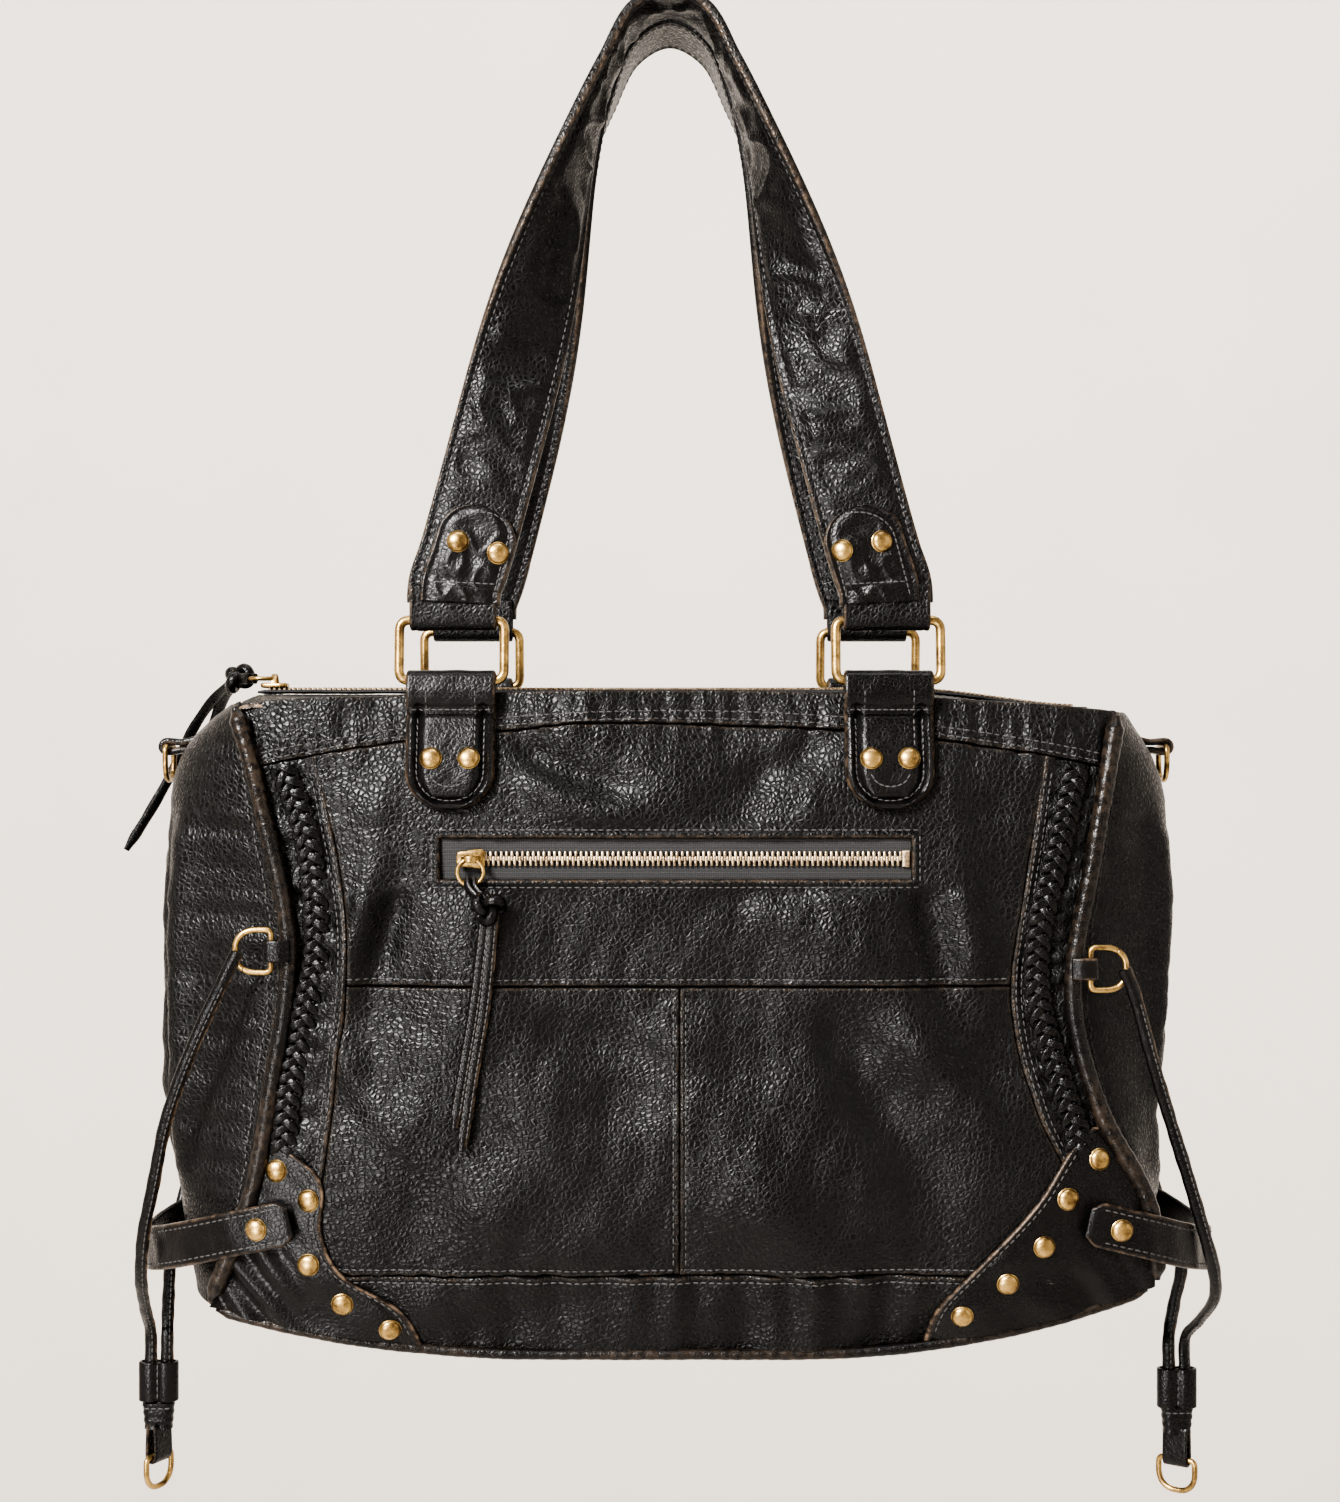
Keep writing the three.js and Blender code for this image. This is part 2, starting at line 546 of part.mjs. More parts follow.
function knot(x, y, z, radius) {
  return new THREE.SphereGeometry(radius, 8, 5).translate(x, y, z);
}
const FRONT_TAILS = [
  [[-77, -68.3, -392], [-79, -68.6, -412], [-82, -69.6, -436], [-86, -71, -460], [-90, -72.2, -484]],
  [[-74, -68.3, -392], [-75.5, -68.6, -412], [-78, -69.6, -436], [-82.5, -71, -463], [-87, -72.6, -494]],
];
const MAIN_TAILS = [
  [[-195, 10, -294], [-208, 24, -302], [-220, 33, -316], [-230, 37, -335], [-241, 39, -354], [-253, 40, -373]],
  [[-195, 12, -294], [-206, 28, -304], [-214, 39, -320], [-222, 43, -338], [-231, 45, -361]],
];
function thong(tails, knotAt) {
  return join(knot(...knotAt, 4.8), ...tails.map((line) => tube(line, THONG_R, 8, 11)));
}
add("front_zip_thong", thong(FRONT_TAILS, [-76, -68.4, -392.5]), trim);

// zipped top: two halves that meet at the chain
function placket() {
  return slab(8, 3, (u, v, w) => {
    const y = lerp(-PLACKET_Y, -GAP, v);
    const z = lerp(PLACKET_Z[0], PLACKET_Z[1], Math.sin((v * Math.PI) / 2)) - 0.2 + w * 2;
    return V(lerp(PLACKET_X[0], PLACKET_X[1], u), y, z);
  });
}
add("front_placket", placket(), leather);
add("rear_placket", placket(), leather, [1, -1, 1]);
const TOP_SLIDER_Z = PLACKET_Z[1] + 1.8 + GAP;
add("main_zip_slider", slider(false), brass).position.set(TOP_SLIDER_X, 0, TOP_SLIDER_Z);
const mainPullRing = add("main_zip_pull_ring", wireRing(pullCircle, PULL_WIRE, 5, 12), brass);
mainPullRing.rotation.set(Math.PI / 2, Math.PI / 2, 0);
mainPullRing.position.set(TOP_SLIDER_X, 0, TOP_SLIDER_Z + SLIDER_HOLE);
add("main_zip_thong", thong(MAIN_TAILS, [-195, 10, -294]), trim);

// side D-rings on the corner piping, with their tabs
const SIDE_RINGS = { left: { side: -1, x: -168.5, z: -411.5 }, right: { side: 1, x: 177.5, z: -419 } };
const SIDE_RING_Y = -59.5;
const dRingPath = dPath(DRING_WIDTH, DRING_DEPTH);
const SIDE_TAB = { reach: 12, height: 12.4, thick: 2.6 };
function sideTab({ side, x, z }) {
  const { reach, height, thick } = SIDE_TAB;
  const shape = new THREE.Shape().moveTo(0, thick / 2 + 1.3).lineTo(reach, 1);
  shape.lineTo(reach, -thick / 2).lineTo(0, -thick / 2 - 1.3);
  shape.absarc(0, 0, thick / 2 + 1.3, -Math.PI / 2, Math.PI / 2, true);
  const g = extrude(hole(shape, 0, 0, DRING_WIRE + 0.4), height);
  g.translate(0, 0, -height / 2);
  if (side > 0) g.rotateZ(Math.PI);
  return facingOut(g.translate(x, SIDE_RING_Y, z));
}
for (const [name, spec] of Object.entries(SIDE_RINGS))
  for (const [mirror, face] of [[1, "front"], [-1, "rear"]]) {
    add(`${face}_${name}_dring_tab`, sideTab(spec), trim, [1, mirror, 1]);
    const ring = add(`${face}_${name}_dring`, wireRing(dRingPath, DRING_WIRE, 6, 16), brass);
    ring.rotation.y = spec.side < 0 ? Math.PI / 2 : -Math.PI / 2;
    ring.position.set(spec.x, mirror * SIDE_RING_Y, spec.z);
  }
for (const [name, x] of [["left", UPPER_RING.left], ["right", UPPER_RING.right]]) {
  const ring = add(`${name}_upper_dring`, wireRing(dRingPath, DRING_WIRE, 6, 16), brass);
  ring.rotation.z = Math.PI / 2;
  ring.position.set(x, UPPER_RING.y, UPPER_RING.z);
}

// drawstrings: a front and a rear leg to one end tab, with a sliding keeper and an end ring
const DRAWSTRINGS = {
  left: {
    front: [[-187.5, -59.5, -424.6], [-202, -58, -452], [-214, -53, -483], [-221, -47, -512], [-227, -40, -536],
      [-230, -31, -556], [-231.8, -15, -578], [-232.6, -1.5, -594], [-232.6, 0, -602], [-232.6, 0, -624]],
    rear: [[-187.5, 59.5, -424.6], [-202, 58, -452], [-214, 53, -483], [-221, 47, -512], [-227, 40, -536],
      [-230, 31, -556], [-227.8, 15, -578], [-225.4, 1.5, -594], [-225.4, 0, -602], [-225.4, 0, -624]],
    keeper: [-229, -609],
    tab: [-229, -631],
    turn: 1.1,
  },
  right: {
    front: [[196.5, -59.5, -432.1], [204, -58, -458], [213, -54, -486], [221.5, -51.5, -512], [229, -48, -536],
      [233.6, -42.5, -550], [236.2, -33, -564], [234, -16, -583], [230.6, -1.5, -598], [230.6, 0, -605], [230.6, 0, -626]],
    rear: [[196.5, 59.5, -432.1], [204, 58, -458], [213, 54, -486], [221.5, 51.5, -512], [229, 48, -536],
      [233.6, 42.5, -550], [236.2, 33, -564], [230, 16, -583], [223.4, 1.5, -598], [223.4, 0, -605], [223.4, 0, -626]],
    keeper: [227, -612],
    tab: [227, -633],
    turn: -0.6,
  },
};
const KEEPER_HEIGHT = 18;
function keeper() {
  const [half, deep] = [9, 4.6];
  const shape = new THREE.Shape().moveTo(deep - half, -deep).lineTo(half - deep, -deep);
  shape.absarc(half - deep, 0, deep, -Math.PI / 2, Math.PI / 2);
  shape.lineTo(deep - half, deep).absarc(deep - half, 0, deep, Math.PI / 2, 1.5 * Math.PI);
  hole(shape, -3.6, 0, CORD_R + 0.45);
  hole(shape, 3.6, 0, CORD_R + 0.45);
  const g = extrude(shape, KEEPER_HEIGHT);
  return facingOut(g.translate(0, 0, -KEEPER_HEIGHT / 2));
}
const END_TAB = { width: 13, top: 12, barZ: -11, thick: 6 };
function endTab(turn) {
  const { width, top, barZ, thick } = END_TAB;
  const shape = new THREE.Shape().moveTo(thick / 2, barZ).lineTo(thick / 2, top).lineTo(-thick / 2, top);
  shape.lineTo(-thick / 2, barZ).absarc(0, barZ, thick / 2, Math.PI, 2 * Math.PI);
  const fold = prism(hole(shape, 0, barZ, DRING_WIRE + 0.5), width - 1.5);
  const collar = box([-width / 2, width / 2], [-4.2, 4.2], [0, top]);
  return join(fold.rotateZ(turn), collar);
}
for (const [name, spec] of Object.entries(DRAWSTRINGS)) {
  const legs = [tube(spec.front, CORD_R, 8, 18), tube(spec.rear, CORD_R, 8, 18)];
  const tab = endTab(spec.turn).translate(spec.tab[0], 0, spec.tab[1]);
  add(`${name}_drawstring`, join(...legs, tab), trim);
  add(`${name}_keeper`, keeper(), trim).position.set(spec.keeper[0], 0, spec.keeper[1]);
  const ring = add(`${name}_end_ring`, wireRing(dPath(17, 14), DRING_WIRE, 6, 16), brass);
  ring.rotation.z = spec.turn;
  ring.position.set(spec.tab[0], 0, spec.tab[1] + END_TAB.barZ);
}

export default bag;
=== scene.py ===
"""A black leather satchel that hangs by its two straps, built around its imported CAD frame.

Shapes are worked out in millimetres, in the frame's own axes, and made into meshes in metres.
"""

import json
import math

import bpy
import numpy as np
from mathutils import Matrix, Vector
from mathutils.bvhtree import BVHTree

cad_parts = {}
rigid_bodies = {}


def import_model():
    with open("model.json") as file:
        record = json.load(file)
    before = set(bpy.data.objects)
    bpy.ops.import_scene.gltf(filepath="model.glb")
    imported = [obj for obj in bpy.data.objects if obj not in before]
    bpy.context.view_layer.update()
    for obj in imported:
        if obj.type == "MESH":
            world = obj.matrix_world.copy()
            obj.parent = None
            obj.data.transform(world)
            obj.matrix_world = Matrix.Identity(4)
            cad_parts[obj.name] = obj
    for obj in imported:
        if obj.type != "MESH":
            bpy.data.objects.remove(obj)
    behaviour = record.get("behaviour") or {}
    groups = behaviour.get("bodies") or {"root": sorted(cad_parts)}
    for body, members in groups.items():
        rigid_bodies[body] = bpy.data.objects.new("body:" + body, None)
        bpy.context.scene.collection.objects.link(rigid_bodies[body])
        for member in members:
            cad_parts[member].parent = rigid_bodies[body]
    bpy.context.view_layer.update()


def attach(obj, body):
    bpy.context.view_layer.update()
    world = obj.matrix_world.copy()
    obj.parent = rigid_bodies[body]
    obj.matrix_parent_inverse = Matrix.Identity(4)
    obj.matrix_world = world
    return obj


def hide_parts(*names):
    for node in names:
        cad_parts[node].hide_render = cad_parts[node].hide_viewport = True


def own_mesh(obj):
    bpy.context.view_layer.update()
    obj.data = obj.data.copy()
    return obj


for leftover in list(bpy.data.objects):
    bpy.data.objects.remove(leftover)
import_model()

MM = 0.001
REAR = np.array([1.0, -1.0, 1.0])  # turns a front piece into its rear twin
FRONT, BACK = -1, 1
LEFT, RIGHT = -1, 1

# ---------------------------------------------------------------- camera
CAMERA_AT = (0.0, -1.035, -0.327)
LENS_MM = 55.37
SENSOR_MM = 36.0


def make_camera():
    data = bpy.data.cameras.new("camera")
    data.lens = LENS_MM
    data.sensor_width = SENSOR_MM
    camera = bpy.data.objects.new("camera", data)
    camera.location = CAMERA_AT
    camera.rotation_euler = (math.pi / 2, 0, 0)
    bpy.context.scene.collection.objects.link(camera)
    bpy.context.scene.camera = camera


make_camera()


# ---------------------------------------------------------------- numeric helpers
def vec(*xyz):
    return np.array(xyz, float)


def lerp(a, b, t):
    return a + (b - a) * t


def unit(a):
    return a / np.maximum(np.linalg.norm(a, axis=-1, keepdims=True), 1e-9)


def ease(x, low, high):
    u = np.clip((x - low) / (high - low), 0, 1)
    return u * u * (3 - 2 * u)


def hill(x, middle, width):
    return np.exp(-(((x - middle) / width) ** 2))


def ripple(x, z, size, seed, waves=9):
    """Smooth irregular waves about `size` long, from about -1 to 1."""
    rng = np.random.default_rng(seed)
    total = 0
    for _ in range(waves):
        angle = rng.uniform(0, 2 * math.pi)
        k = 2 * math.pi / (size * rng.uniform(0.7, 1.9))
        phase = rng.uniform(0, 2 * math.pi)
        total = total + np.sin(k * (x * math.cos(angle) + z * math.sin(angle)) + phase)
    return total / math.sqrt(waves * 1.6)


def crease(x, z, size, seed):
    """Thin raised creases with flat ground between them, from 0 to 1."""
    return np.clip(1 - np.abs(ripple(x, z, size, seed)) * 1.5, 0, 1) ** 2


def profile(*knots):
    """A smooth value along a short list of (z, value) knots, z falling."""
    zs = np.array([k[0] for k in knots], float)[::-1]
    vs = np.array([k[1] for k in knots], float)[::-1]
    n = len(zs)
    low = np.maximum(np.arange(n) - 1, 0)
    high = np.minimum(np.arange(n) + 1, n - 1)
    slope = (vs[high] - vs[low]) / (zs[high] - zs[low])

    def value(z):
        z = np.clip(z, zs[0], zs[-1])
        i = np.clip(np.searchsorted(zs, z, side="right") - 1, 0, n - 2)
        h = zs[i + 1] - zs[i]
        u = (z - zs[i]) / h
        blend = u * u * (3 - 2 * u)
        lean = u * (1 - u) * h
        return lerp(vs[i], vs[i + 1], blend) + lean * ((1 - u) * slope[i] - u * slope[i + 1])

    return value


def catmull(points, count):
    """Points evenly spaced along a centripetal Catmull-Rom curve."""
    p = np.array(points, float)
    p = np.vstack([2 * p[0] - p[1], p, 2 * p[-1] - p[-2]])
    out = []
    for i in range(1, len(p) - 2):
        a, b, c, d = p[i - 1 : i + 3]
        ta, tb, tc = [max(np.linalg.norm(q - r), 1e-6) ** 0.5 for q, r in ((b, a), (c, b), (d, c))]
        m1 = (b - a) / ta - (c - a) / (ta + tb) + (c - b) / tb
        m2 = (c - b) / tb - (d - b) / (tb + tc) + (d - c) / tc
        m1, m2 = m1 * tb, m2 * tb
        t = np.linspace(0, 1, 24, endpoint=i == len(p) - 3)[:, None]
        c0, c1 = 2 * t**3 - 3 * t**2 + 1, t**3 - 2 * t**2 + t
        c2, c3 = -2 * t**3 + 3 * t**2, t**3 - t**2
        out.append(c0 * b + c1 * m1 + c2 * c + c3 * m2)
    return respace(np.vstack(out), count)


def lengths(path):
    return np.concatenate([[0], np.cumsum(np.linalg.norm(np.diff(path, axis=0), axis=1))])


def respace(path, count):
    run = lengths(path)
    at = np.linspace(0, run[-1], count)
    return np.stack([np.interp(at, run, path[:, k]) for k in range(3)], axis=1)


def mirrored(half):
    """The other half of a route that starts at one end and stops at the middle plane y = 0."""
    return half + [(x, -y, z) for x, y, z in half[-2::-1]]


def transported(path, start):
    """Two directions across a path that turn with it and don't twist."""
    run = unit(np.gradient(path, axis=0))
    side = np.zeros_like(path)
    current = np.array(start, float)
    for i, t in enumerate(run):
        current = current - t * np.dot(current, t)
        current = current / np.linalg.norm(current)
        side[i] = current
    return run, side, np.cross(run, side)


# ---------------------------------------------------------------- the bag's form, as in the CAD part
TOP_Z, BASE_Z, WALL = -306.0, -584.0, 2.2
STRIP_T = 0.076
H_SEAM, LOW_SEAM = -426.0, -548.0
RING_X, RING_BAR_Y, RING_BAR_Z = 93.0, -52.0, -297.0
RING_RISE, RING_WIDTH, RING_WIRE = 26.0, 44.7, 1.65
RING_LEAN = math.radians(6)
RING_TOP_Y = RING_BAR_Y + RING_RISE * math.sin(RING_LEAN)
RING_TOP_Z = RING_BAR_Z + RING_RISE * math.cos(RING_LEAN)
ZIP_X, ZIP_Z, ZIP_WINDOW = (-97.0, 102.0), -372.5, 17.0
ZIP_FRONT_Y = -58.9
SLIDER_X, TOP_SLIDER_X = -84.0, -177.0
PLACKET_Y, PLACKET_X, PLACKET_Z = 46.0, (-187.0, 189.0), (-305.0, -301.0)
DRING_WIRE = 1.3

front_left_x = profile((-303, -187), (-343, -175), (-410, -161), (-470, -168), (-520, -178), (-580, -203))
front_right_x = profile((-303, 192), (-373, 179), (-430, 170), (-478, 181), (-520, 202), (-580, 206))
left_bulge_x = profile(
    (-303, -190), (-322, -213), (-350, -223), (-430, -226), (-490, -223), (-545, -213), (-580, -204)
)
right_bulge_x = profile(
    (-303, 195), (-322, 210), (-350, 221), (-410, 223), (-476, 217), (-530, 213), (-580, 207)
)
half_depth = profile((-303, 44), (-345, 50), (-430, 54), (-520, 57), (-580, 52))
crown = profile((-303, 4), (-345, 8), (-430, 10), (-520, 12), (-580, 6))


def top_z(s):
    return TOP_Z - np.where(s > 0, 6 * s * s, 0)


def crest_z(s):
    """The soft top edge of the walls, a little above the zipped top."""
    return -300.6 - np.where(s > 0, 9, 5.4) * s * s


def yoke_z(s):
    return -315 - 19 * s * s


def base_rise(s):
    return np.where(s < 0, 19, 28) * np.maximum(0, (np.abs(s) - 0.25) / 0.75) ** 2


def wall_end_z(s):
    return BASE_Z + WALL + 0.35 + base_rise(s)


def level(z):
    return lambda s: z + 0 * s


def face_point(s, z, side):
    x = lerp(front_left_x(z), front_right_x(z), (s + 1) / 2)
    y = half_depth(z) + crown(z) * (1 - s**4)
    return np.stack(np.broadcast_arrays(x, side * y, z), axis=-1)


def share_at(x, z):
    return 2 * (x - front_left_x(z)) / (front_right_x(z) - front_left_x(z)) - 1


def gusset_point(q, z, side):
    edge = front_left_x(z) if side == LEFT else front_right_x(z)
    bulge = (left_bulge_x(z) if side == LEFT else right_bulge_x(z)) - edge
    x = edge + bulge * (1 - np.abs(2 * q - 1) ** 2.4)
    y = lerp(-half_depth(z), half_depth(z), q)
    return np.stack(np.broadcast_arrays(x, y, z), axis=-1)


def slump(x, z, side):
    """How far the soft front or rear stands off its smooth form, in mm."""
    seed = 3 if side == FRONT else 23
    soft = 2.6 * ripple(x, z * 0.7, 95, seed) + 1.15 * ripple(x, z, 38, seed + 1)
    soft = soft + 0.36 * ripple(x, z, 15, seed + 5)
    lower = ease(-z, 440, 520)
    soft = soft + 1.5 * lower * ripple(x, z, 60, seed + 2)
    for x0, z0, x1, z1, wide, high in FOLDS:
        along = ((x - x0) * (x1 - x0) + (z - z0) * (z1 - z0)) / ((x1 - x0) ** 2 + (z1 - z0) ** 2)
        off = ((x - x0) * (z1 - z0) - (z - z0) * (x1 - x0)) / math.hypot(x1 - x0, z1 - z0)
        ends = ease(along, -0.1, 0.25) * (1 - ease(along, 0.7, 1.1))
        soft = soft + FOLD_GAIN * high * ends * np.exp(-((off / wide) ** 2))
    return soft


FOLD_GAIN = 1.3  # every fold stands this much higher than its entry says
# soft folds of the front: from x, z to x, z, half width, height before the gain
FOLDS = (
    (-116, -345, -142, -440, 8, 4.0),
    (-104, -352, -128, -430, 6, -3.0),
    (116, -345, 134, -440, 8, 3.8),
    (100, -352, 118, -440, 7, -3.2),
    (-74, -322, -14, -347, 7, -3.6),
    (-70, -336, -10, -360, 8, 2.4),
    (72, -322, 24, -343, 8, -2.8),
    (-120, -470, -60, -530, 16, 2.6),
    (64, -432, 112, -520, 13, -4.2),
    (92, -436, 150, -505, 9, 3.4),
    (20, -480, 60, -540, 14, 2.2),
    (-150, -440, -110, -500, 7, 2.2),
    (-60, -440, 10, -462, 8, -1.8),
    (30, -392, 100, -418, 8, 2.0),
)


# ---------------------------------------------------------------- mesh helpers
def make_mesh(name, body, verts, faces, material, slot, sharp=42, wear=None, stands_for=()):
    """A mesh piece from millimetre points, riding on a CAD body."""
    verts = np.asarray(verts, float)
    mesh = bpy.data.meshes.new(name)
    mesh.from_pydata((verts * MM).tolist(), [], [list(map(int, f)) for f in faces])
    mesh.validate()
    mesh.update()
    mesh.shade_smooth()
    mesh.set_sharp_from_angle(angle=math.radians(sharp))
    mesh.materials.append(material)
    # Per-vertex mask of the brown edges, which stand partly for rubbed wear and partly for a painted edge
    # highlight.
    layer = mesh.attributes.new("wear", "FLOAT", "POINT")
    values = np.zeros(len(mesh.vertices), np.float32)
    if wear is not None:
        values[: len(wear)] = wear
    layer.data.foreach_set("value", values)
    obj = bpy.data.objects.new(name, mesh)
    bpy.context.scene.collection.objects.link(obj)
    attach(obj, body)
    if stands_for:
        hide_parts(*stands_for)
    return obj


def flipped(faces):
    return [f[::-1] for f in faces]


def volume(verts, faces):
    total = 0.0
    for f in faces:
        for i in range(1, len(f) - 1):
            total += np.dot(verts[f[0]], np.cross(verts[f[i]], verts[f[i + 1]]))
    return total


def grid_faces(nu, nv, keep=None, start=0):
    """Quads over a grid of (nu + 1) x (nv + 1) points."""
    faces = []
    for i in range(nu):
        for j in range(nv):
            if keep is None or keep[i, j]:
                a = start + i * (nv + 1) + j
                faces.append((a, a + nv + 1, a + nv + 2, a + 1))
    return faces


def shell(name, body, outer, inner, material, slot, keep=None, wear=None, **more):
    """A closed piece between an outer and an inner grid of points."""
    nu, nv = outer.shape[0] - 1, outer.shape[1] - 1
    count = (nu + 1) * (nv + 1)
    verts = np.vstack([outer.reshape(-1, 3), inner.reshape(-1, 3)])
    faces = grid_faces(nu, nv, keep)
    uses = {}
    for f in faces:
        for a, b in zip(f, f[1:] + f[:1]):
            uses[(a, b)] = uses.get((a, b), 0) + 1
    rim = [(a, b) for (a, b) in uses if (b, a) not in uses]
    back = [tuple(v + count for v in f[::-1]) for f in faces]
    sides = [(b, a, a + count, b + count) for a, b in rim]
    faces = faces + back + sides
    if volume(verts, faces) < 0:
        faces = flipped(faces)
    if wear is not None:
        wear = np.concatenate([wear.ravel(), 0 * wear.ravel()])
    used = sorted({v for f in faces for v in f})
    renumber = {v: i for i, v in enumerate(used)}
    faces = [tuple(renumber[v] for v in f) for f in faces]
    wear = None if wear is None else wear[used]
    return make_mesh(name, body, verts[used], faces, material, slot, wear=wear, **more)


def normals(points, outward):
    n = unit(np.cross(np.gradient(points, axis=0), np.gradient(points, axis=1)))
    turned = np.sum(n * np.asarray(outward, float), axis=-1)
    return n if np.mean(turned) > 0 else -n


FINE = (0.35, 0.9, 1.6, 2.4, 3.2, 4.4)


def lines(length, count):
    """Places from 0 to 1 along a length in mm, close together at both ends."""
    edge = np.array([0, *FINE])
    middle = np.linspace(FINE[-1] + 1.5, length - FINE[-1] - 1.5, count)
    return np.concatenate([edge, middle, length - edge[::-1]]) / length


def rolled(d, radius=2.0):
    """How far a turned edge drops at a distance d from it."""
    r = np.clip(radius - d, 0, radius)
    return radius - np.sqrt(np.maximum(radius**2 - r**2, 0))


def groove(d, at=2.9, depth=0.35, width=0.55):
    return depth * hill(d, at, width)


def sweep(path, side, up, section, closed=False):
    """Points and faces of a section swept along a path; section is one (m, 2) array or one for each point."""
    path, section = np.asarray(path, float), np.asarray(section, float)
    n = len(path)
    if section.ndim == 2:
        section = np.broadcast_to(section, (n, *section.shape))
    m = section.shape[1]
    verts = path[:, None] + section[..., :1] * side[:, None] + section[..., 1:] * up[:, None]
    verts = verts.reshape(-1, 3)
    faces = []
    for i in range(n if closed else n - 1):
        a, b = i * m, ((i + 1) % n) * m
        for j in range(m):
            k = (j + 1) % m
            faces.append((a + j, b + j, b + k, a + k))
    if not closed:
        faces.append(tuple(range(m - 1, -1, -1))[::-1])
        faces.append(tuple((n - 1) * m + j for j in range(m))[::-1])
    if volume(verts, faces) < 0:
        faces = flipped(faces)
    return verts, faces


def circle(radius, sides=12, squeeze=1.0):
    a = np.linspace(0, 2 * math.pi, sides, endpoint=False)
    return np.stack([radius * np.cos(a), squeeze * radius * np.sin(a)], axis=1)


def rounded_box(width, height, radius, per_corner=4):
    points = []
    for cx, cy, start in ((1, 1, 0), (-1, 1, 90), (-1, -1, 180), (1, -1, 270)):
        for k in range(per_corner + 1):
            a = math.radians(start + 90 * k / per_corner)
            x = cx * (width / 2 - radius) + radius * math.cos(a)
            points.append((x, cy * (height / 2 - radius) + radius * math.sin(a)))
    return np.array(points)


class Bundle:
    """Many small solids that become one mesh."""

    def __init__(self):
        self.verts, self.faces, self.count = [], [], 0

    def add(self, verts, faces):
        self.verts.append(verts)
        self.faces += [tuple(v + self.count for v in f) for f in faces]
        self.count += len(verts)

    def make(self, name, body, material, slot, **more):
        return make_mesh(name, body, np.vstack(self.verts), self.faces, material, slot, **more)


def tree_of(*objects):
    """The surface of some pieces, for putting thread and studs on it; in metres."""
    verts, faces = [], []
    for o in objects:
        start = len(verts)
        verts += [v.co for v in o.data.vertices]
        faces += [[start + v for v in p.vertices] for p in o.data.polygons]
    return BVHTree.FromPolygons(verts, faces)


def on_surface(tree, point, outward):
    """The surface's outermost point and normal over a point given in mm."""
    aim = Vector(point) * MM
    out = Vector(outward).normalized()
    hit, normal, _, _ = tree.ray_cast(aim + out * 0.02, -out, 0.04)
    if hit is None:
        hit, normal, _, _ = tree.find_nearest(aim)
    if normal.dot(out) < 0:
        normal = -normal
    return np.array(hit) / MM, np.array(normal)


# ---------------------------------------------------------------- materials
class Finish:
    """Builds one node material."""

    def __init__(self, name):
        self.material = bpy.data.materials.new(name)
        self.material.use_nodes = True
        self.tree = self.material.node_tree
        self.tree.nodes.clear()
        self.shader = self.tree.nodes.new("ShaderNodeBsdfPrincipled")
        out = self.tree.nodes.new("ShaderNodeOutputMaterial")
        self.link(self.shader.outputs["BSDF"], out.inputs["Surface"])
        self.place = self.tree.nodes.new("ShaderNodeTexCoord").outputs["Object"]

    def link(self, a, b):
        self.tree.links.new(a, b)

    def node(self, kind, settings=None, **inputs):
        n = self.tree.nodes.new("ShaderNode" + kind)
        for key, value in (settings or {}).items():
            setattr(n, key, value)
        for key, value in inputs.items():
            socket = n.inputs[int(key[1:])] if key[0] == "_" else n.inputs[key.replace("_", " ")]
            if isinstance(value, bpy.types.NodeSocket):
                self.link(value, socket)
            else:
                socket.default_value = value
        return n

    def math(self, operation, a, b=0.0):
        return self.node("Math", {"operation": operation}, _0=a, _1=b).outputs[0]

    def noise(self, scale, detail=3.0, roughness=0.55, place=None):
        place = place or self.place
        return self.node(
            "TexNoise", Vector=place, Scale=scale, Detail=detail, Roughness=roughness
        ).outputs["Fac"]

    def remap(self, value, low, high, to_low=0.0, to_high=1.0):
        return self.node(
            "MapRange", {"clamp": True}, _0=value, _1=low, _2=high, _3=to_low, _4=to_high
        ).outputs[0]

    def mix(self, factor, a, b):
        n = self.node("Mix", {"data_type": "RGBA"}, _0=factor)
        for socket, value in ((n.inputs[6], a), (n.inputs[7], b)):
            if isinstance(value, bpy.types.NodeSocket):
                self.link(value, socket)
            else:
                socket.default_value = (*value, 1.0)
        return n.outputs[2]

    def wear(self):
        return self.node("Attribute", {"attribute_name": "wear"}).outputs["Fac"]

    def bump(self, height, distance, strength=1.0, under=None):
        n = self.node("Bump", Height=height, Distance=distance, Strength=strength)
        if under is not None:
            self.link(under, n.inputs["Normal"])
        return n.outputs["Normal"]

    def finish(self, color=None, roughness=None, normal=None, **values):
        for name, value in (("Base Color", color), ("Roughness", roughness), ("Normal", normal)):
            if value is not None:
                self.link(value, self.shader.inputs[name])
        for key, value in values.items():
            self.shader.inputs[key.replace("_", " ")].default_value = value
        return self.material


# The first colour here is painted shade for the grain valleys. The brown below stands partly for rubbed edge
# wear and partly for a painted edge highlight.
VALLEY_SHADE, BLACK, WARM_BLACK = (0.0001, 0.0001, 0.0001), (0.0010, 0.0009, 0.0009), (0.0030, 0.0023, 0.0023)
RUBBED_AND_HIGHLIGHT = (0.23, 0.155, 0.10)


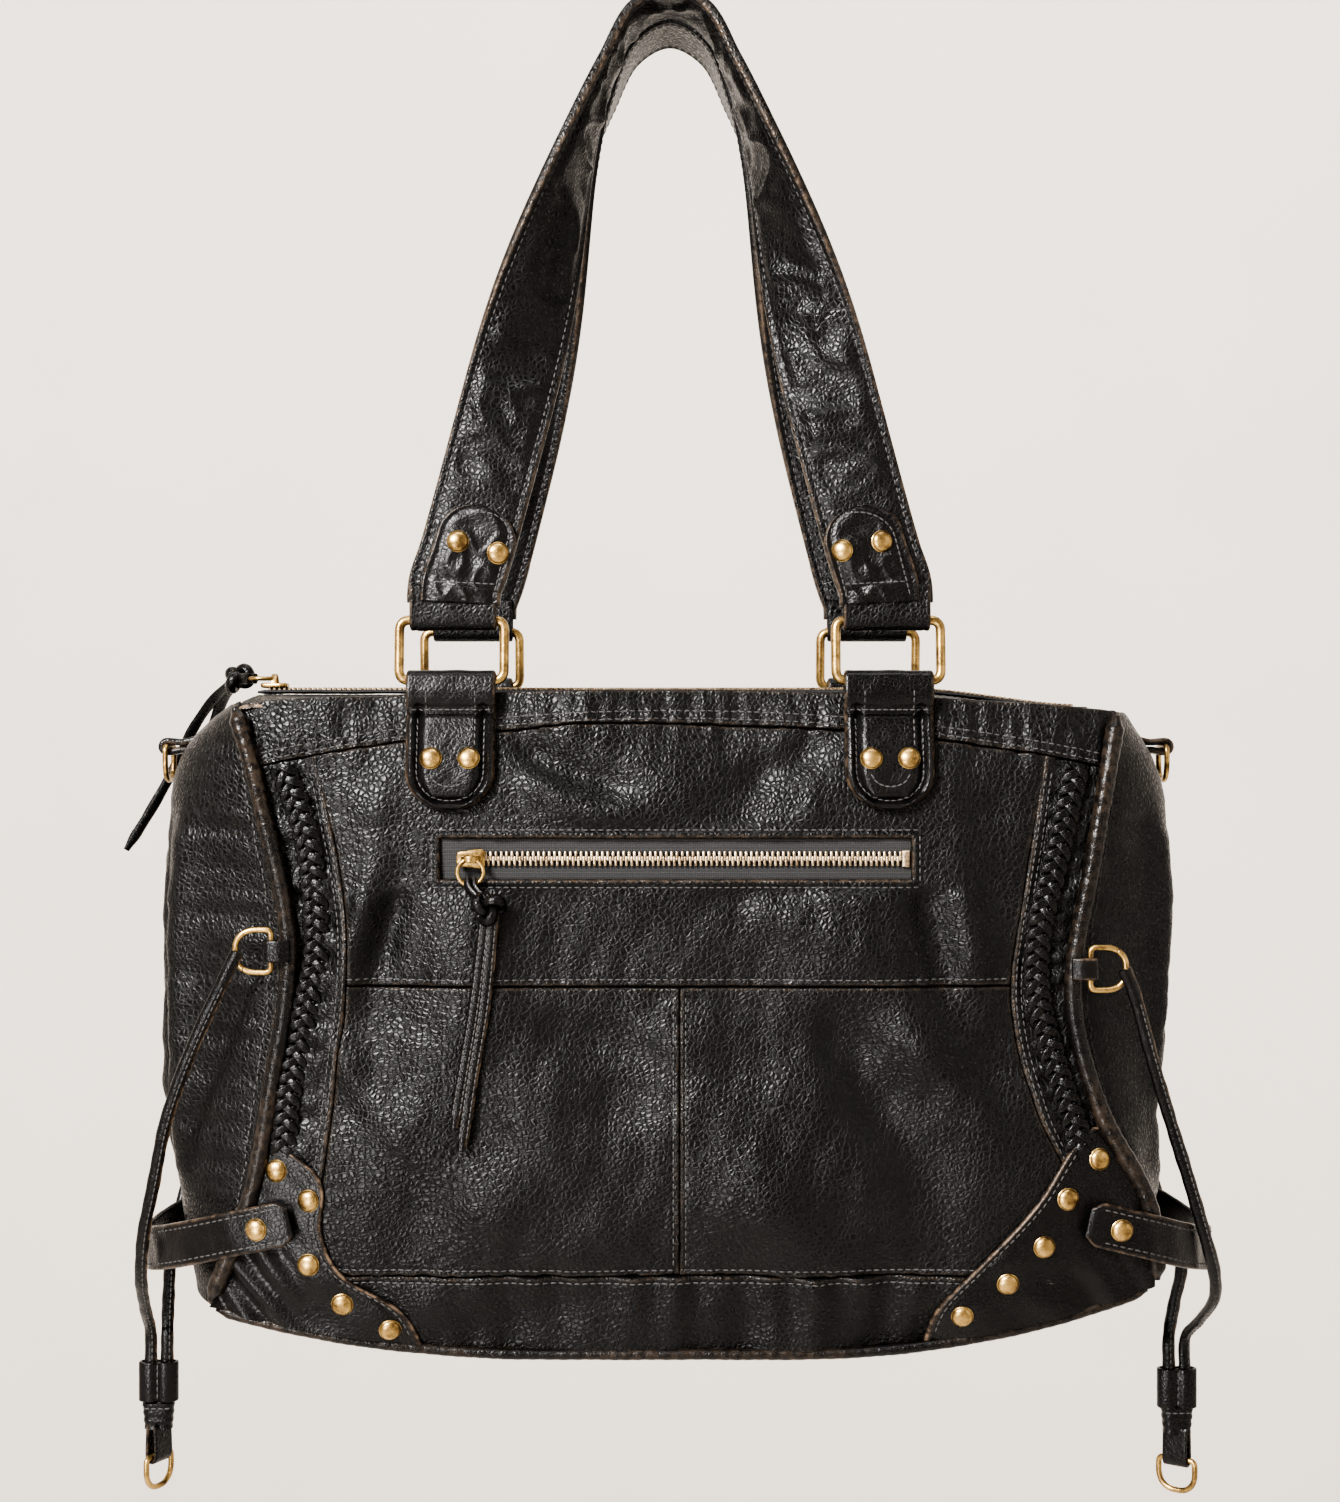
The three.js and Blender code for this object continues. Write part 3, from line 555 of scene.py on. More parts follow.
def leather(name, grain_mm, depth, gloss, warmth=0.5, smooth=0.0):
    """Pebbled faux leather: rounded cells parted by fine valleys with painted shade in them, soft creases,
    brown edges that are partly rubbed wear and partly a painted edge highlight.
    """
    f = Finish(name)
    wander = f.node("TexNoise", Vector=f.place, Scale=240.0, Detail=2.0).outputs["Color"]
    bent = f.node("Mix", {"data_type": "VECTOR"}, _0=0.0022, _4=f.place, _5=wander).outputs[1]
    cells = f.node(
        "TexVoronoi", {"feature": "DISTANCE_TO_EDGE"}, Vector=bent, Scale=1000.0 / grain_mm, Randomness=1.0
    ).outputs["Distance"]
    pebble = f.math("POWER", f.remap(cells, 0.0, 0.33), 0.6)
    fine = f.noise(2600.0, 2.0)
    creases = f.node(
        "TexVoronoi", {"feature": "DISTANCE_TO_EDGE"}, Vector=bent, Scale=150.0, Randomness=1.0
    ).outputs["Distance"]
    crease_line = f.remap(creases, 0.0, 0.06)
    crease_mask = f.remap(f.noise(28.0, 2.0), 0.48, 0.75)
    lines_height = f.math("MULTIPLY", f.math("SUBTRACT", crease_line, 1.0), crease_mask)
    height = f.math("ADD", pebble, f.math("MULTIPLY", fine, 0.07))
    height = f.math("ADD", height, f.math("MULTIPLY", lines_height, 0.7))
    broad = f.noise(90.0, 3.0)
    normal = f.bump(broad, 0.0012, 0.35)
    normal = f.bump(height, depth * MM, 1.0, under=normal)
    blotch = f.noise(14.0, 4.0)
    tone_and_shade = f.mix(f.remap(blotch, 0.35, 0.7, 0.0, warmth), BLACK, WARM_BLACK)
    # Painted shade: the grain valleys are darkened towards near-black.
    tone_and_shade = f.mix(f.remap(pebble, 0.35, 0.98, smooth, 1.0), VALLEY_SHADE, tone_and_shade)
    # Brown along the masked edges: partly rubbed wear, partly a painted edge highlight.
    rub_and_highlight_noise = f.remap(f.noise(300.0, 3.0), 0.42, 0.62)
    rub_and_highlight = f.math("MULTIPLY", f.wear(), f.math("ADD", f.math("MULTIPLY", rub_and_highlight_noise, 0.85), 0.12))
    color = f.mix(rub_and_highlight, tone_and_shade, RUBBED_AND_HIGHLIGHT)
    rough = f.remap(pebble, 0.2, 0.9, gloss + 0.26 * (1 - smooth), gloss)
    rough = f.math("ADD", rough, f.remap(blotch, 0.3, 0.75, -0.04, 0.07))
    return f.finish(color, rough, normal, Specular_IOR_Level=0.12)


def brass():
    f = Finish("antique_brass")
    stain = f.remap(f.noise(170.0, 5.0, 0.65), 0.42, 0.66)
    fine = f.noise(1500.0, 3.0)
    color = f.mix(stain, (0.31, 0.205, 0.075), (0.075, 0.045, 0.018))
    rough = f.remap(fine, 0.3, 0.7, 0.24, 0.42)
    normal = f.bump(f.noise(900.0, 4.0), 0.00008, 0.6)
    return f.finish(color, rough, normal, Metallic=1.0)


def dark_metal():
    f = Finish("zip_metal")
    stain = f.remap(f.noise(500.0, 4.0), 0.4, 0.65)
    color = f.mix(stain, (0.36, 0.28, 0.19), (0.11, 0.08, 0.052))
    rough = f.remap(f.noise(1800.0, 2.0), 0.3, 0.7, 0.26, 0.44)
    return f.finish(color, rough, f.bump(f.noise(1200.0), 0.00006, 0.5), Metallic=1.0)


def thread():
    f = Finish("thread")
    twist = f.node("TexWave", Vector=f.place, Scale=900.0, Distortion=1.5, Detail=1.0).outputs["Fac"]
    color = f.mix(f.noise(350.0), (0.002, 0.0018, 0.0018), (0.014, 0.012, 0.011))
    return f.finish(color, f.remap(twist, 0.0, 1.0, 0.55, 0.75), f.bump(twist, 0.0001, 0.5))


def woven(name, dark, light, threads_per_m):
    f = Finish(name)
    across = f.node("TexWave", Vector=f.place, Scale=threads_per_m, Distortion=0.6).outputs["Fac"]
    down = f.node(
        "TexWave", {"bands_direction": "Z"}, Vector=f.place, Scale=threads_per_m, Distortion=0.6
    ).outputs["Fac"]
    weave = f.math("MULTIPLY", across, down)
    color = f.mix(weave, dark, light)
    return f.finish(color, f.remap(weave, 0.0, 1.0, 0.95, 0.8), f.bump(weave, 0.00015, 0.7))


BODY = leather("body_leather", 2.3, 0.22, 0.26)
STRAP = leather("strap_leather", 2.2, 0.18, 0.23)
TRIM = leather("trim_leather", 1.9, 0.07, 0.25, 0.35, smooth=0.8)
BRASS = brass()
ZIP_METAL = dark_metal()
THREAD = thread()
TAPE = woven("zip_tape", (0.0015, 0.0015, 0.0017), (0.007, 0.0066, 0.007), 320.0)
CLOTH = woven("lining_cloth", (0.035, 0.026, 0.020), (0.085, 0.065, 0.052), 260.0)

# ---------------------------------------------------------------- stitching
STITCH_PITCH, STITCH_LENGTH, STITCH_R = 3.3, 2.5, 0.36
stitching = {}


def capsule():
    """One stitch along x, its foot at z = 0."""
    rows = [(-0.5, 0.15), (-0.38, 0.75), (-0.15, 1.0), (0.15, 1.0), (0.38, 0.75), (0.5, 0.15)]
    ring = circle(1.0, 6)
    path = np.array([(x * STITCH_LENGTH, 0, 0) for x, _ in rows])
    sections = np.array([ring * STITCH_R * r for _, r in rows])
    side = np.tile(vec(0, 1, 0), (len(rows), 1))
    up = np.tile(vec(0, 0, 0.8), (len(rows), 1))
    return sweep(path, side, up, sections)


CAPSULE = capsule()


def sew(body, tree, path, outward, pitch=STITCH_PITCH, lift=0.1):
    """A row of stitches along a path near a surface; outward is one direction or one for each point."""
    path = np.asarray(path, float)
    run = lengths(path)
    count = max(2, int(run[-1] / pitch))
    at = (np.arange(count) + 0.5) * run[-1] / count
    points = np.stack([np.interp(at, run, path[:, k]) for k in range(3)], axis=1)
    outward = np.broadcast_to(np.asarray(outward, float), path.shape)
    outs = np.stack([np.interp(at, run, outward[:, k]) for k in range(3)], axis=1)
    along = unit(np.gradient(points, axis=0))
    bundle = stitching.setdefault(body, Bundle())
    verts, faces = CAPSULE
    for p, o, t in zip(points, outs, along):
        foot, n = on_surface(tree, p, o)
        t = unit(t - n * np.dot(t, n))
        axes = np.stack([t, np.cross(n, t), n])
        bundle.add(verts @ axes + foot + n * lift, faces)


# ---------------------------------------------------------------- studs
STUD_R, STUD_RISE = 4.5, 2.8


def dome(radius=STUD_R, rise=STUD_RISE, steps=20):
    """A domed stud along z with its foot at z = 0 and a small collar."""
    profile_points = [(0.0, -1.0), (1.06, -1.0), (1.06, 0.12), (1.0, 0.2)]
    profile_points += [(math.cos(a), 0.2 + 0.8 * math.sin(a)) for a in np.linspace(0.12, 1.35, 6)]
    rows = [(r * radius, z * rise if z > 0 else z * 0.8) for r, z in profile_points[1:]]
    verts = [(0.0, 0.0, -0.8)]
    for r, z in rows:
        ring = circle(r, steps)
        verts += [(x, y, z) for x, y in ring]
    verts.append((0.0, 0.0, rise))
    faces = [(0, 1 + (j + 1) % steps, 1 + j) for j in range(steps)]
    for i in range(len(rows) - 1):
        a, b = 1 + i * steps, 1 + (i + 1) * steps
        for j in range(steps):
            k = (j + 1) % steps
            faces.append((a + j, a + k, b + k, b + j))
    last = 1 + (len(rows) - 1) * steps
    faces += [(last + j, last + (j + 1) % steps, len(verts) - 1) for j in range(steps)]
    return np.array(verts), faces


def stud(bundle, tree, point, outward, **size):
    verts, faces = dome(**size)
    foot, n = on_surface(tree, point, outward)
    side = unit(np.cross(n, vec(0.3, 0.2, 1)))
    bundle.add(verts @ np.stack([side, np.cross(n, side), n]) + foot, faces)


# ---------------------------------------------------------------- bands, tubes and rings
def spread(width, count):
    """Offsets across a band, close together near its two edges."""
    edge = np.array([0, 0.3, 0.8, 1.5, 2.4, 3.6]) if width > 14 else np.array([0, 0.25, 0.7, 1.3])
    edge = edge * min(1, width / 9)
    middle = np.linspace(edge[-1] + 1, width - edge[-1] - 1, max(count, 2))
    return np.concatenate([edge, middle, width - edge[::-1]]) - width / 2


def band(
    name, body, path, wide, width, thick, material, slot, count=8,
    relief=None, shape=None, facing=None, **more,
):
    """A flat leather band along a path. `shape` gives its half width along the path, and `relief`
    how far its face stands out, from the offset across, the length run and the distance to the edge.
    `facing` says which way the face looks. Returns the piece and its outward directions."""
    path, wide = np.asarray(path, float), np.broadcast_to(wide, np.shape(path))
    run = unit(np.gradient(path, axis=0))
    wide = unit(wide - run * np.sum(wide * run, axis=1, keepdims=True))
    out = np.cross(run, wide)
    if facing is not None and np.sum(out[: len(out) // 3] * facing) < 0:
        wide, out = -wide, -out
    across = spread(width, count)
    along = lengths(path)
    scale = np.ones(len(path)) if shape is None else shape(along, along[-1]) / (width / 2)
    off = across[None, :] * scale[:, None]
    edge = (width / 2 - np.abs(across))[None, :] + 0 * off
    ends = np.minimum(along, along[-1] - along)[:, None]
    drop = rolled(edge, min(1.4, thick / 2)) + rolled(ends + 0 * off, min(0.8, thick / 2))
    drop = np.minimum(drop, thick / 2 - 0.12)
    face = thick / 2 - drop
    if relief is not None:
        face = face + relief(off, along[:, None] + 0 * off, edge)
    centre = path[:, None] + wide[:, None] * off[..., None]
    front = centre + out[:, None] * face[..., None]
    back = centre - out[:, None] * (thick / 2 - drop)[..., None]
    # Brown along the band's edges: partly rubbed wear, partly a painted edge highlight.
    wear = 0.18 * hill(edge, 0.4, 0.5)
    return shell(name, body, front, back, material, slot, wear=wear, **more), out


def tube(points, radius, count, sides=12, squeeze=1.0, start=(0, 0, 1), relief=None):
    """A tube along given points, thinner in one direction by `squeeze`, and its centre line."""
    path = catmull(points, count)
    _, side, up = transported(path, start)
    scale = np.ones(count) if relief is None else relief(lengths(path))
    section = circle(radius, sides, squeeze)[None] * scale[:, None, None]
    return (*sweep(path, side, up, section), path)


def rounded_line(corners, radii, per_corner=8):
    """A closed flat line with rounded corners, from (a, b) corners."""
    points = []
    n = len(corners)
    for i in range(n):
        p, before, after = (np.array(corners[k % n], float) for k in (i, i - 1, i + 1))
        r = radii[i]
        a, b = p + unit(before - p) * r, p + unit(after - p) * r
        for t in np.linspace(0, 1, per_corner):
            points.append((1 - t) ** 2 * a + 2 * t * (1 - t) * p + t * t * b)
    return np.array(points)


def rectangle_line(width, rise, corner):
    x = width / 2
    return rounded_line([(-x, 0), (x, 0), (x, rise), (-x, rise)], [corner] * 4)


def d_line(width, depth):
    x = width / 2
    low = [(x, -depth * 0.62), (x * 0.62, -depth), (-x * 0.62, -depth), (-x, -depth * 0.62)]
    return rounded_line([(-x, 0), (x, 0), *low], [2.6, 2.6, 3, 4.4, 4.4, 3])


def circle_line(radius, middle=-1.0):
    a = np.linspace(0, 2 * math.pi, 48, endpoint=False)
    return np.stack([radius * np.sin(a), radius * (middle + np.cos(a))], axis=1)


def turned(points, axis, angle):
    c, s = math.cos(angle), math.sin(angle)
    i, j = [(1, 2), (2, 0), (0, 1)][axis]
    out = np.array(points, float)
    out[:, i], out[:, j] = c * points[:, i] - s * points[:, j], s * points[:, i] + c * points[:, j]
    return out


def round_wire(path, radius, sides, turns, at):
    """A closed loop of round wire lying in XZ, turned about axes in order and set in place."""
    run = unit(np.roll(path, -1, axis=0) - np.roll(path, 1, axis=0))
    up = np.tile(vec(0, 1, 0), (len(path), 1))
    verts, faces = sweep(path, np.cross(run, up), up, circle(radius, sides), closed=True)
    for axis, angle in turns:
        verts = turned(verts, axis, angle)
    return verts + vec(*at), faces


def wire_ring(name, line, radius, turns, at, mirror=1):
    """A brass ring: a flat closed line in XZ, turned and set in place."""
    flat = np.stack([line[:, 0], 0 * line[:, 0], line[:, 1]], axis=1)
    path = respace(np.vstack([flat, flat[:1]]), 97)[:-1]
    verts, faces = round_wire(path, radius, 12, turns, at)
    if mirror < 0:
        verts, faces = verts * REAR, flipped(faces)
    return make_mesh(name, name, verts, faces, BRASS, "antique_brass", sharp=80, stands_for=[name])


def capped_box(length, width, height, radius):
    """A rounded bar along x, with its ends drawn in a little."""
    path = np.array([(x * length / 2, 0, 0) for x in (-1, -0.97, -0.88, 0.88, 0.97, 1)])
    scale = [0.72, 0.9, 1, 1, 0.9, 0.72]
    section = np.array([rounded_box(width, height, radius) * k for k in scale])
    side, up = np.tile(vec(0, 1, 0), (6, 1)), np.tile(vec(0, 0, 1), (6, 1))
    return sweep(path, side, up, section)


# ---------------------------------------------------------------- drawstrings
LEFT_LEG = [
    (-182.4, -61.8, -411.5), (-187.5, -60.8, -421.6), (-202, -58, -452), (-214, -53, -483),
    (-221, -47, -512), (-227, -40, -536), (-230, -31, -556),
]
RIGHT_LEG = [
    (191.4, -61.8, -419), (195.6, -60.8, -429), (204, -58, -458), (213, -54, -486),
    (221.5, -51.5, -512), (229, -48, -536), (233.6, -42.5, -550), (236.2, -33, -564),
]
DRAWSTRINGS = {
    "left": {
        "front": LEFT_LEG + [(-231.8, -14, -574), (-232.6, -0.6, -587), (-232.6, 0, -602), (-232.6, 0, -624)],
        "rear": [(x, -y, z) for x, y, z in LEFT_LEG]
        + [(-227.8, 14, -574), (-225.4, 0.6, -587), (-225.4, 0, -602), (-225.4, 0, -624)],
        "keeper": (-229, -609),
        "tab": (-229, -631),
        "turn": 1.1,
    },
    "right": {
        "front": RIGHT_LEG + [(234, -15, -578), (230.6, -0.6, -590), (230.6, 0, -605), (230.6, 0, -626)],
        "rear": [(x, -y, z) for x, y, z in RIGHT_LEG]
        + [(229, 15, -578), (223.4, 0.6, -590), (223.4, 0, -605), (223.4, 0, -626)],
        "keeper": (227, -612),
        "tab": (227, -633),
        "turn": -0.6,
    },
}
END_RING_DROP = 11.0


def folded_strip():
    """The section of a leather strip folded on itself: a flat oval with a stitched lip."""
    a = np.linspace(0, 2 * math.pi, 20, endpoint=False)
    x, y = 2.7 * np.cos(a), 1.9 * np.sin(a)
    return np.stack([x + 0.25 * hill(a, 0, 0.25), y * (1 - 0.3 * hill(a, 0.5, 0.3))], axis=1)


def make_leg(name, body, points, node):
    path = catmull(points, 150)
    _, side, up = transported(path, (1, 0, 0))
    run = lengths(path)
    wave = 1 + 0.03 * np.sin(run / 4.1) + 0.03 * np.sin(run / 1.7 + 1)
    verts, faces = sweep(path, side, up, folded_strip()[None] * wave[:, None, None])
    wear = np.tile(0.5 * hill(np.arange(20), 0, 1.2), len(path))
    obj = make_mesh(name, body, verts, faces, TRIM, "trim_leather", wear=wear, stands_for=[node])
    surface = tree_of(obj)
    for lean in (0.62, -0.62):
        row = path + up * lean * 3 + side * 1.2
        sew(body, surface, row[10:], up[10:] * math.copysign(1, lean), pitch=3.0, lift=0.05)
    return obj, path


def make_end_tab(name, body, spec, node):
    """The stitched tab that closes both legs, its fold holding the end ring."""
    x0, z0 = spec["tab"]
    bar = z0 - END_RING_DROP
    collar = Bundle()
    path = np.array([(x0, 0, z) for z in np.linspace(z0 + 12.5, z0 + 1.0, 12)])
    side, up = np.tile(vec(1, 0, 0), (12, 1)), np.tile(vec(0, 1, 0), (12, 1))
    taper = np.linspace(1.0, 0.86, 12) + 0.03 * np.sin(np.arange(12) * 1.9)
    section = rounded_box(14.2, 8.6, 3.6)[None] * taper[:, None, None]
    collar.add(*sweep(path, side, up, section))
    across = turned(np.array([[1.0, 0, 0]]), 2, spec["turn"])[0]
    through = turned(np.array([[0, 1.0, 0]]), 2, spec["turn"])[0]
    loop = [(2.0, 14.5), (2.5, 4.0), (2.45, -0.2), (1.75, -1.8), (0, -2.5), (-1.75, -1.8), (-2.45, -0.2)]
    loop += [(-2.5, 4.0), (-2.0, 14.5)]
    line = catmull([through * a + vec(x0, 0, bar + b) for a, b in loop], 40)
    obj = collar.make(name, body, TRIM, "trim_leather", stands_for=[node])
    fold, _ = band(
        name + "_fold", body, line, across, 11.5, 1.5, TRIM, "trim_leather", count=6, stands_for=[node]
    )
    surface = tree_of(obj)
    for face in (-1, 1):
        row = [(x0 - 6, face * 5, z0 + 10.4), (x0 + 6, face * 5, z0 + 10.4)]
        sew(body, surface, respace(np.array(row, float), 8), (0, face, 0), pitch=2.6)
    return [obj, fold]


def make_keeper(name, spec):
    """A short stitched sleeve with two channels, one on each leg."""
    x0, z0 = spec["keeper"]
    a = np.linspace(0, 2 * math.pi, 64, endpoint=False)
    x = 8.1 * np.cos(a)
    waist = 1 - 0.42 * hill(x, 0, 1.9)
    y = 3.95 * np.sign(np.sin(a)) * np.abs(np.sin(a)) ** 0.75 * waist
    path = np.stack([x + x0, y, 0 * x + z0], axis=1)
    run = unit(np.roll(path, -1, axis=0) - np.roll(path, 1, axis=0))
    up = np.tile(vec(0, 0, 1), (len(path), 1))
    verts, faces = sweep(path, np.cross(run, up), up, rounded_box(1.5, 17.6, 0.6), closed=True)
    obj = make_mesh(name + "_sleeve", name, verts, faces, TRIM, "trim_leather", stands_for=[name])
    surface = tree_of(obj)
    for face in (-1, 1):
        row = np.array([(x0, face * 3, z0 + 8), (x0, face * 3, z0 - 8)], float)
        sew(name, surface, respace(row, 10), (0, face, 0), pitch=2.7)
    return obj


for side_name, spec in DRAWSTRINGS.items():
    owner = f"{side_name}_drawstring"
    tab_pieces = make_end_tab(f"{side_name}_end_tab", owner, spec, owner)
    sleeve = make_keeper(f"{side_name}_keeper", spec)
    end_ring = wire_ring(
        f"{side_name}_end_ring",
        d_line(17, 14),
        DRING_WIRE,
        [(2, spec["turn"])],
        (spec["tab"][0], 0, spec["tab"][1] - END_RING_DROP),
    )
    for end in ("front", "rear"):
        leg, line = make_leg(f"{side_name}_{end}_leg", owner, spec[end], owner)

# ---------------------------------------------------------------- zip pulls
FRONT_TAILS = [
    [(-77, -68.3, -392), (-79, -68.6, -412), (-82, -69.6, -436), (-86, -71, -460), (-90, -72.2, -484)],
    [(-74, -68.3, -392), (-75.5, -68.6, -412), (-78, -69.6, -436), (-82.5, -71, -463), (-87, -72.6, -494)],
]
MAIN_TAILS = [
    [(-195, 10, -294), (-208, 24, -302), (-220, 33, -316), (-230, 37, -335), (-241, 39, -354)]
    + [(-253, 40, -373)],
    [(-195, 12, -294), (-206, 28, -304), (-214, 39, -320), (-222, 43, -338), (-231, 45, -361)],
]
PULL_RING_R, PULL_WIRE = 5.5, 0.9
TOP_SLIDER_Z = PLACKET_Z[1] + 2.15
FRONT_PULL_Y = ZIP_FRONT_Y - 0.35 - 4.3


def knot(middle, facing, size=2.2, radius=2.75):
    """A real overhand knot pulled tight, closed on itself."""
    t = np.linspace(0, 2 * math.pi, 96, endpoint=False)
    knot_x, knot_y = np.sin(t) + 2 * np.sin(2 * t), np.cos(t) - 2 * np.cos(2 * t)
    line = np.stack([knot_x, knot_y, -1.35 * np.sin(3 * t)], axis=1)
    z = unit(vec(*facing))
    x = unit(np.cross(vec(0.2, 0.1, 1), z))
    path = (line * size * 0.9) @ np.stack([x, np.cross(z, x), z]) + vec(*middle)
    ring = np.vstack([path, path[:1]])
    path = respace(ring, 121)[:-1]
    run = unit(np.roll(path, -1, axis=0) - np.roll(path, 1, axis=0))
    side = unit(np.cross(run, path - vec(*middle) + 1e-3))
    return sweep(path, side, np.cross(run, side), circle(radius, 10, 0.8), closed=True)


def make_thong(name, body, tails, knot_at, facing, neck, node, squashed=None):
    """A knotted thong: a neck through the pull ring, the knot, and free tails."""
    pieces = []
    core = Bundle()
    core.add(*knot(knot_at, facing))
    for shift in (-1, 1):
        line = [np.array(p, float) + vec(1.3 * shift, 0.7 * shift, 0) for p in neck]
        verts, faces, _ = tube(line, 2.4, 18, squeeze=0.6)
        core.add(verts, faces)
    knotted = core.make(name + "_knot", body, TRIM, "trim_leather", stands_for=[node])
    pieces.append(knotted)
    for i, line in enumerate(tails):
        verts, faces, path = tube(
            line, 2.6, 60, squeeze=0.5, start=(1, 0, 0),
            relief=lambda run: (1 + 0.05 * np.sin(run / 3.1)) * (1 - 0.4 * ease(run, run[-1] - 9, run[-1])),
        )
        tail = make_mesh(
            f"{name}_tail_{i + 1}", body, verts, faces, TRIM, "trim_leather", stands_for=[node],
            wear=np.tile(0.4 * hill(np.arange(12), 0, 1), len(path)),
        )
        pieces.append(tail)
        if not squashed:
            facing_out = np.tile(vec(0, -1, 0), (len(path), 1))[4:-3]
            for shift in (-1.5, 1.5):
                row = path[4:-3] + vec(shift, 0, 0)
                sew(body, tree_of(tail), row, facing_out, pitch=2.8, lift=0.02)
    if squashed:
        # each piece gets a mesh of its own
        for piece in pieces:
            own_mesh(piece)


front_knot, main_knot = (-76, -69.2, -392.5), (-195, 10, -294)
make_thong(
    "front_thong", "front_zip_pull", FRONT_TAILS, front_knot, (0, -1, 0),
    [(-84, -64.4, -381.0), (-83.2, -66.5, -384.5), (-79.5, -68.6, -388.5), (-76.5, -69, -392)],
    "front_zip_thong",
)
make_thong(
    "main_thong", "main_zip_pull", MAIN_TAILS, main_knot, (-0.4, -0.5, 0.7),
    [(-187, 0.5, -294.6), (-189, 2.2, -294.4), (-192, 6, -294.2), (-195, 10, -294)],
    "main_zip_thong", squashed="main_zip_slide",
)


def make_slider(name, at, upright):
    """A zip slider: a waisted body and an arched bridge."""
    parts = Bundle()
    xs = np.array([-6, -5.6, -4.6, -1.5, 1.5, 4.2, 5.6, 6.0])
    half = np.array([2.2, 2.9, 3.3, 3.6, 4.2, 4.3, 3.7, 3.0])
    tall = np.array([0.8, 1.05, 1.2, 1.2, 1.2, 1.2, 1.05, 0.8])
    unit_box = rounded_box(2, 2, 0.55)
    section = np.stack([unit_box * (w, h) for w, h in zip(half, tall)])
    path = np.stack([xs, 0 * xs, 0 * xs + 1.2], axis=1)
    parts.add(*sweep(path, np.tile(vec(0, 1, 0), (8, 1)), np.tile(vec(0, 0, 1), (8, 1)), section))
    half_arch = [(-3.8, 1.8), (-3.2, 3.4), (-1.6, 5.5), (0, 6.0)]
    arch = half_arch + [(-x, z) for x, z in half_arch[-2::-1]]
    line = catmull([(x, 0, z) for x, z in arch], 24)
    _, side, up = transported(line, (0, 1, 0))
    verts, faces = sweep(line, side, up, rounded_box(2.6, 1.0, 0.45))
    parts.add(verts if upright else turned(verts, 2, math.pi / 2), faces)
    verts = np.vstack(parts.verts)
    if upright:
        verts = turned(verts, 0, math.pi / 2)
    return make_mesh(name, name, verts + vec(*at), parts.faces, BRASS, "antique_brass", stands_for=[name])


make_slider("front_zip_slider", (SLIDER_X, ZIP_FRONT_Y - 0.35, ZIP_Z), True)
make_slider("main_zip_slider", (TOP_SLIDER_X, 0, TOP_SLIDER_Z), False)


def pull_ring(name, body, turns, at):
    line = circle_line(PULL_RING_R)
    flat = np.stack([line[:, 0], 0 * line[:, 0], line[:, 1]], axis=1)
    verts, faces = round_wire(flat, PULL_WIRE, 10, turns, at)
    make_mesh(name, body, verts, faces, BRASS, "antique_brass", sharp=80, stands_for=[name])


pull_ring("front_zip_pull_ring", "front_zip_pull", [], (SLIDER_X, FRONT_PULL_Y, ZIP_Z))
pull_ring(
    "main_zip_pull_ring", "main_zip_pull", [(1, math.pi / 2), (0, math.pi / 2)],
    (TOP_SLIDER_X, 0, TOP_SLIDER_Z + 4.3),
)

# ---------------------------------------------------------------- rings of the straps, sides and ends
for side_name, side in (("left", LEFT), ("right", RIGHT)):
    for face_name, mirror in (("front", 1), ("rear", -1)):
        wire_ring(
            f"{face_name}_{side_name}_ring",
            rectangle_line(RING_WIDTH, RING_RISE, 4.5),
            RING_WIRE + 0.45,
            [(0, -RING_LEAN)],
            (side * RING_X, RING_BAR_Y, RING_BAR_Z),
            mirror,
        )
SIDE_RINGS = {"left": (LEFT, -168.5, -411.5), "right": (RIGHT, 177.5, -419)}
SIDE_RING_Y = -59.5
UPPER_RINGS = {"left": (LEFT, -227, 13, -325), "right": (RIGHT, 223.5, 13, -325)}
for side_name, (side, x0, z0) in SIDE_RINGS.items():
    for face_name, mirror in (("front", 1), ("rear", -1)):
        wire_ring(
            f"{face_name}_{side_name}_dring",
            d_line(18, 15),
            DRING_WIRE,
            [(1, -side * math.pi / 2)],
            (x0, SIDE_RING_Y, z0),
            mirror,
        )
for side_name, (side, x0, y0, z0) in UPPER_RINGS.items():
    wire_ring(f"{side_name}_upper_dring", d_line(18, 15), DRING_WIRE, [(2, math.pi / 2)], (x0, y0, z0))


# ---------------------------------------------------------------- front and rear walls
# where the ring tabs, the corner patches and the zip lie: middle x, z, half width, half height
CALM_SPOTS = (
    (-93, -325, 24, 34),
    (93, -325, 24, 34),
    (-175, -535, 46, 40),
    (178, -535, 46, 40),
    (2, -372, 112, 12),
)


def calm(x, z):
    """0 where something lies flat on the wall, 1 elsewhere."""
    value = 1.0
    for x0, z0, half_x, half_z in CALM_SPOTS:
        reach = np.maximum(np.abs(x - x0) / half_x, np.abs(z - z0) / half_z)
        value = value * ease(reach, 0.85, 1.5)
    return value


def stand_off(x, z, side):
    return slump(x, z, side) * calm(x, z)


def wall_grid(S, Z, side):
    """Points and outward directions of the slumped wall at shares and heights."""
    base = face_point(S, Z, side)
    out = normals(base, (0, side, 0))
    return base + out * stand_off(base[..., 0], Z, side)[..., None], out


def pucker(x, z, distance, seed, strength=0.8, size=5.0, reach=6.0):
    """Small gathers that run away from a row of stitches."""
    return strength * ripple(x, z * 0.25, size, seed) * np.exp(-distance / reach)


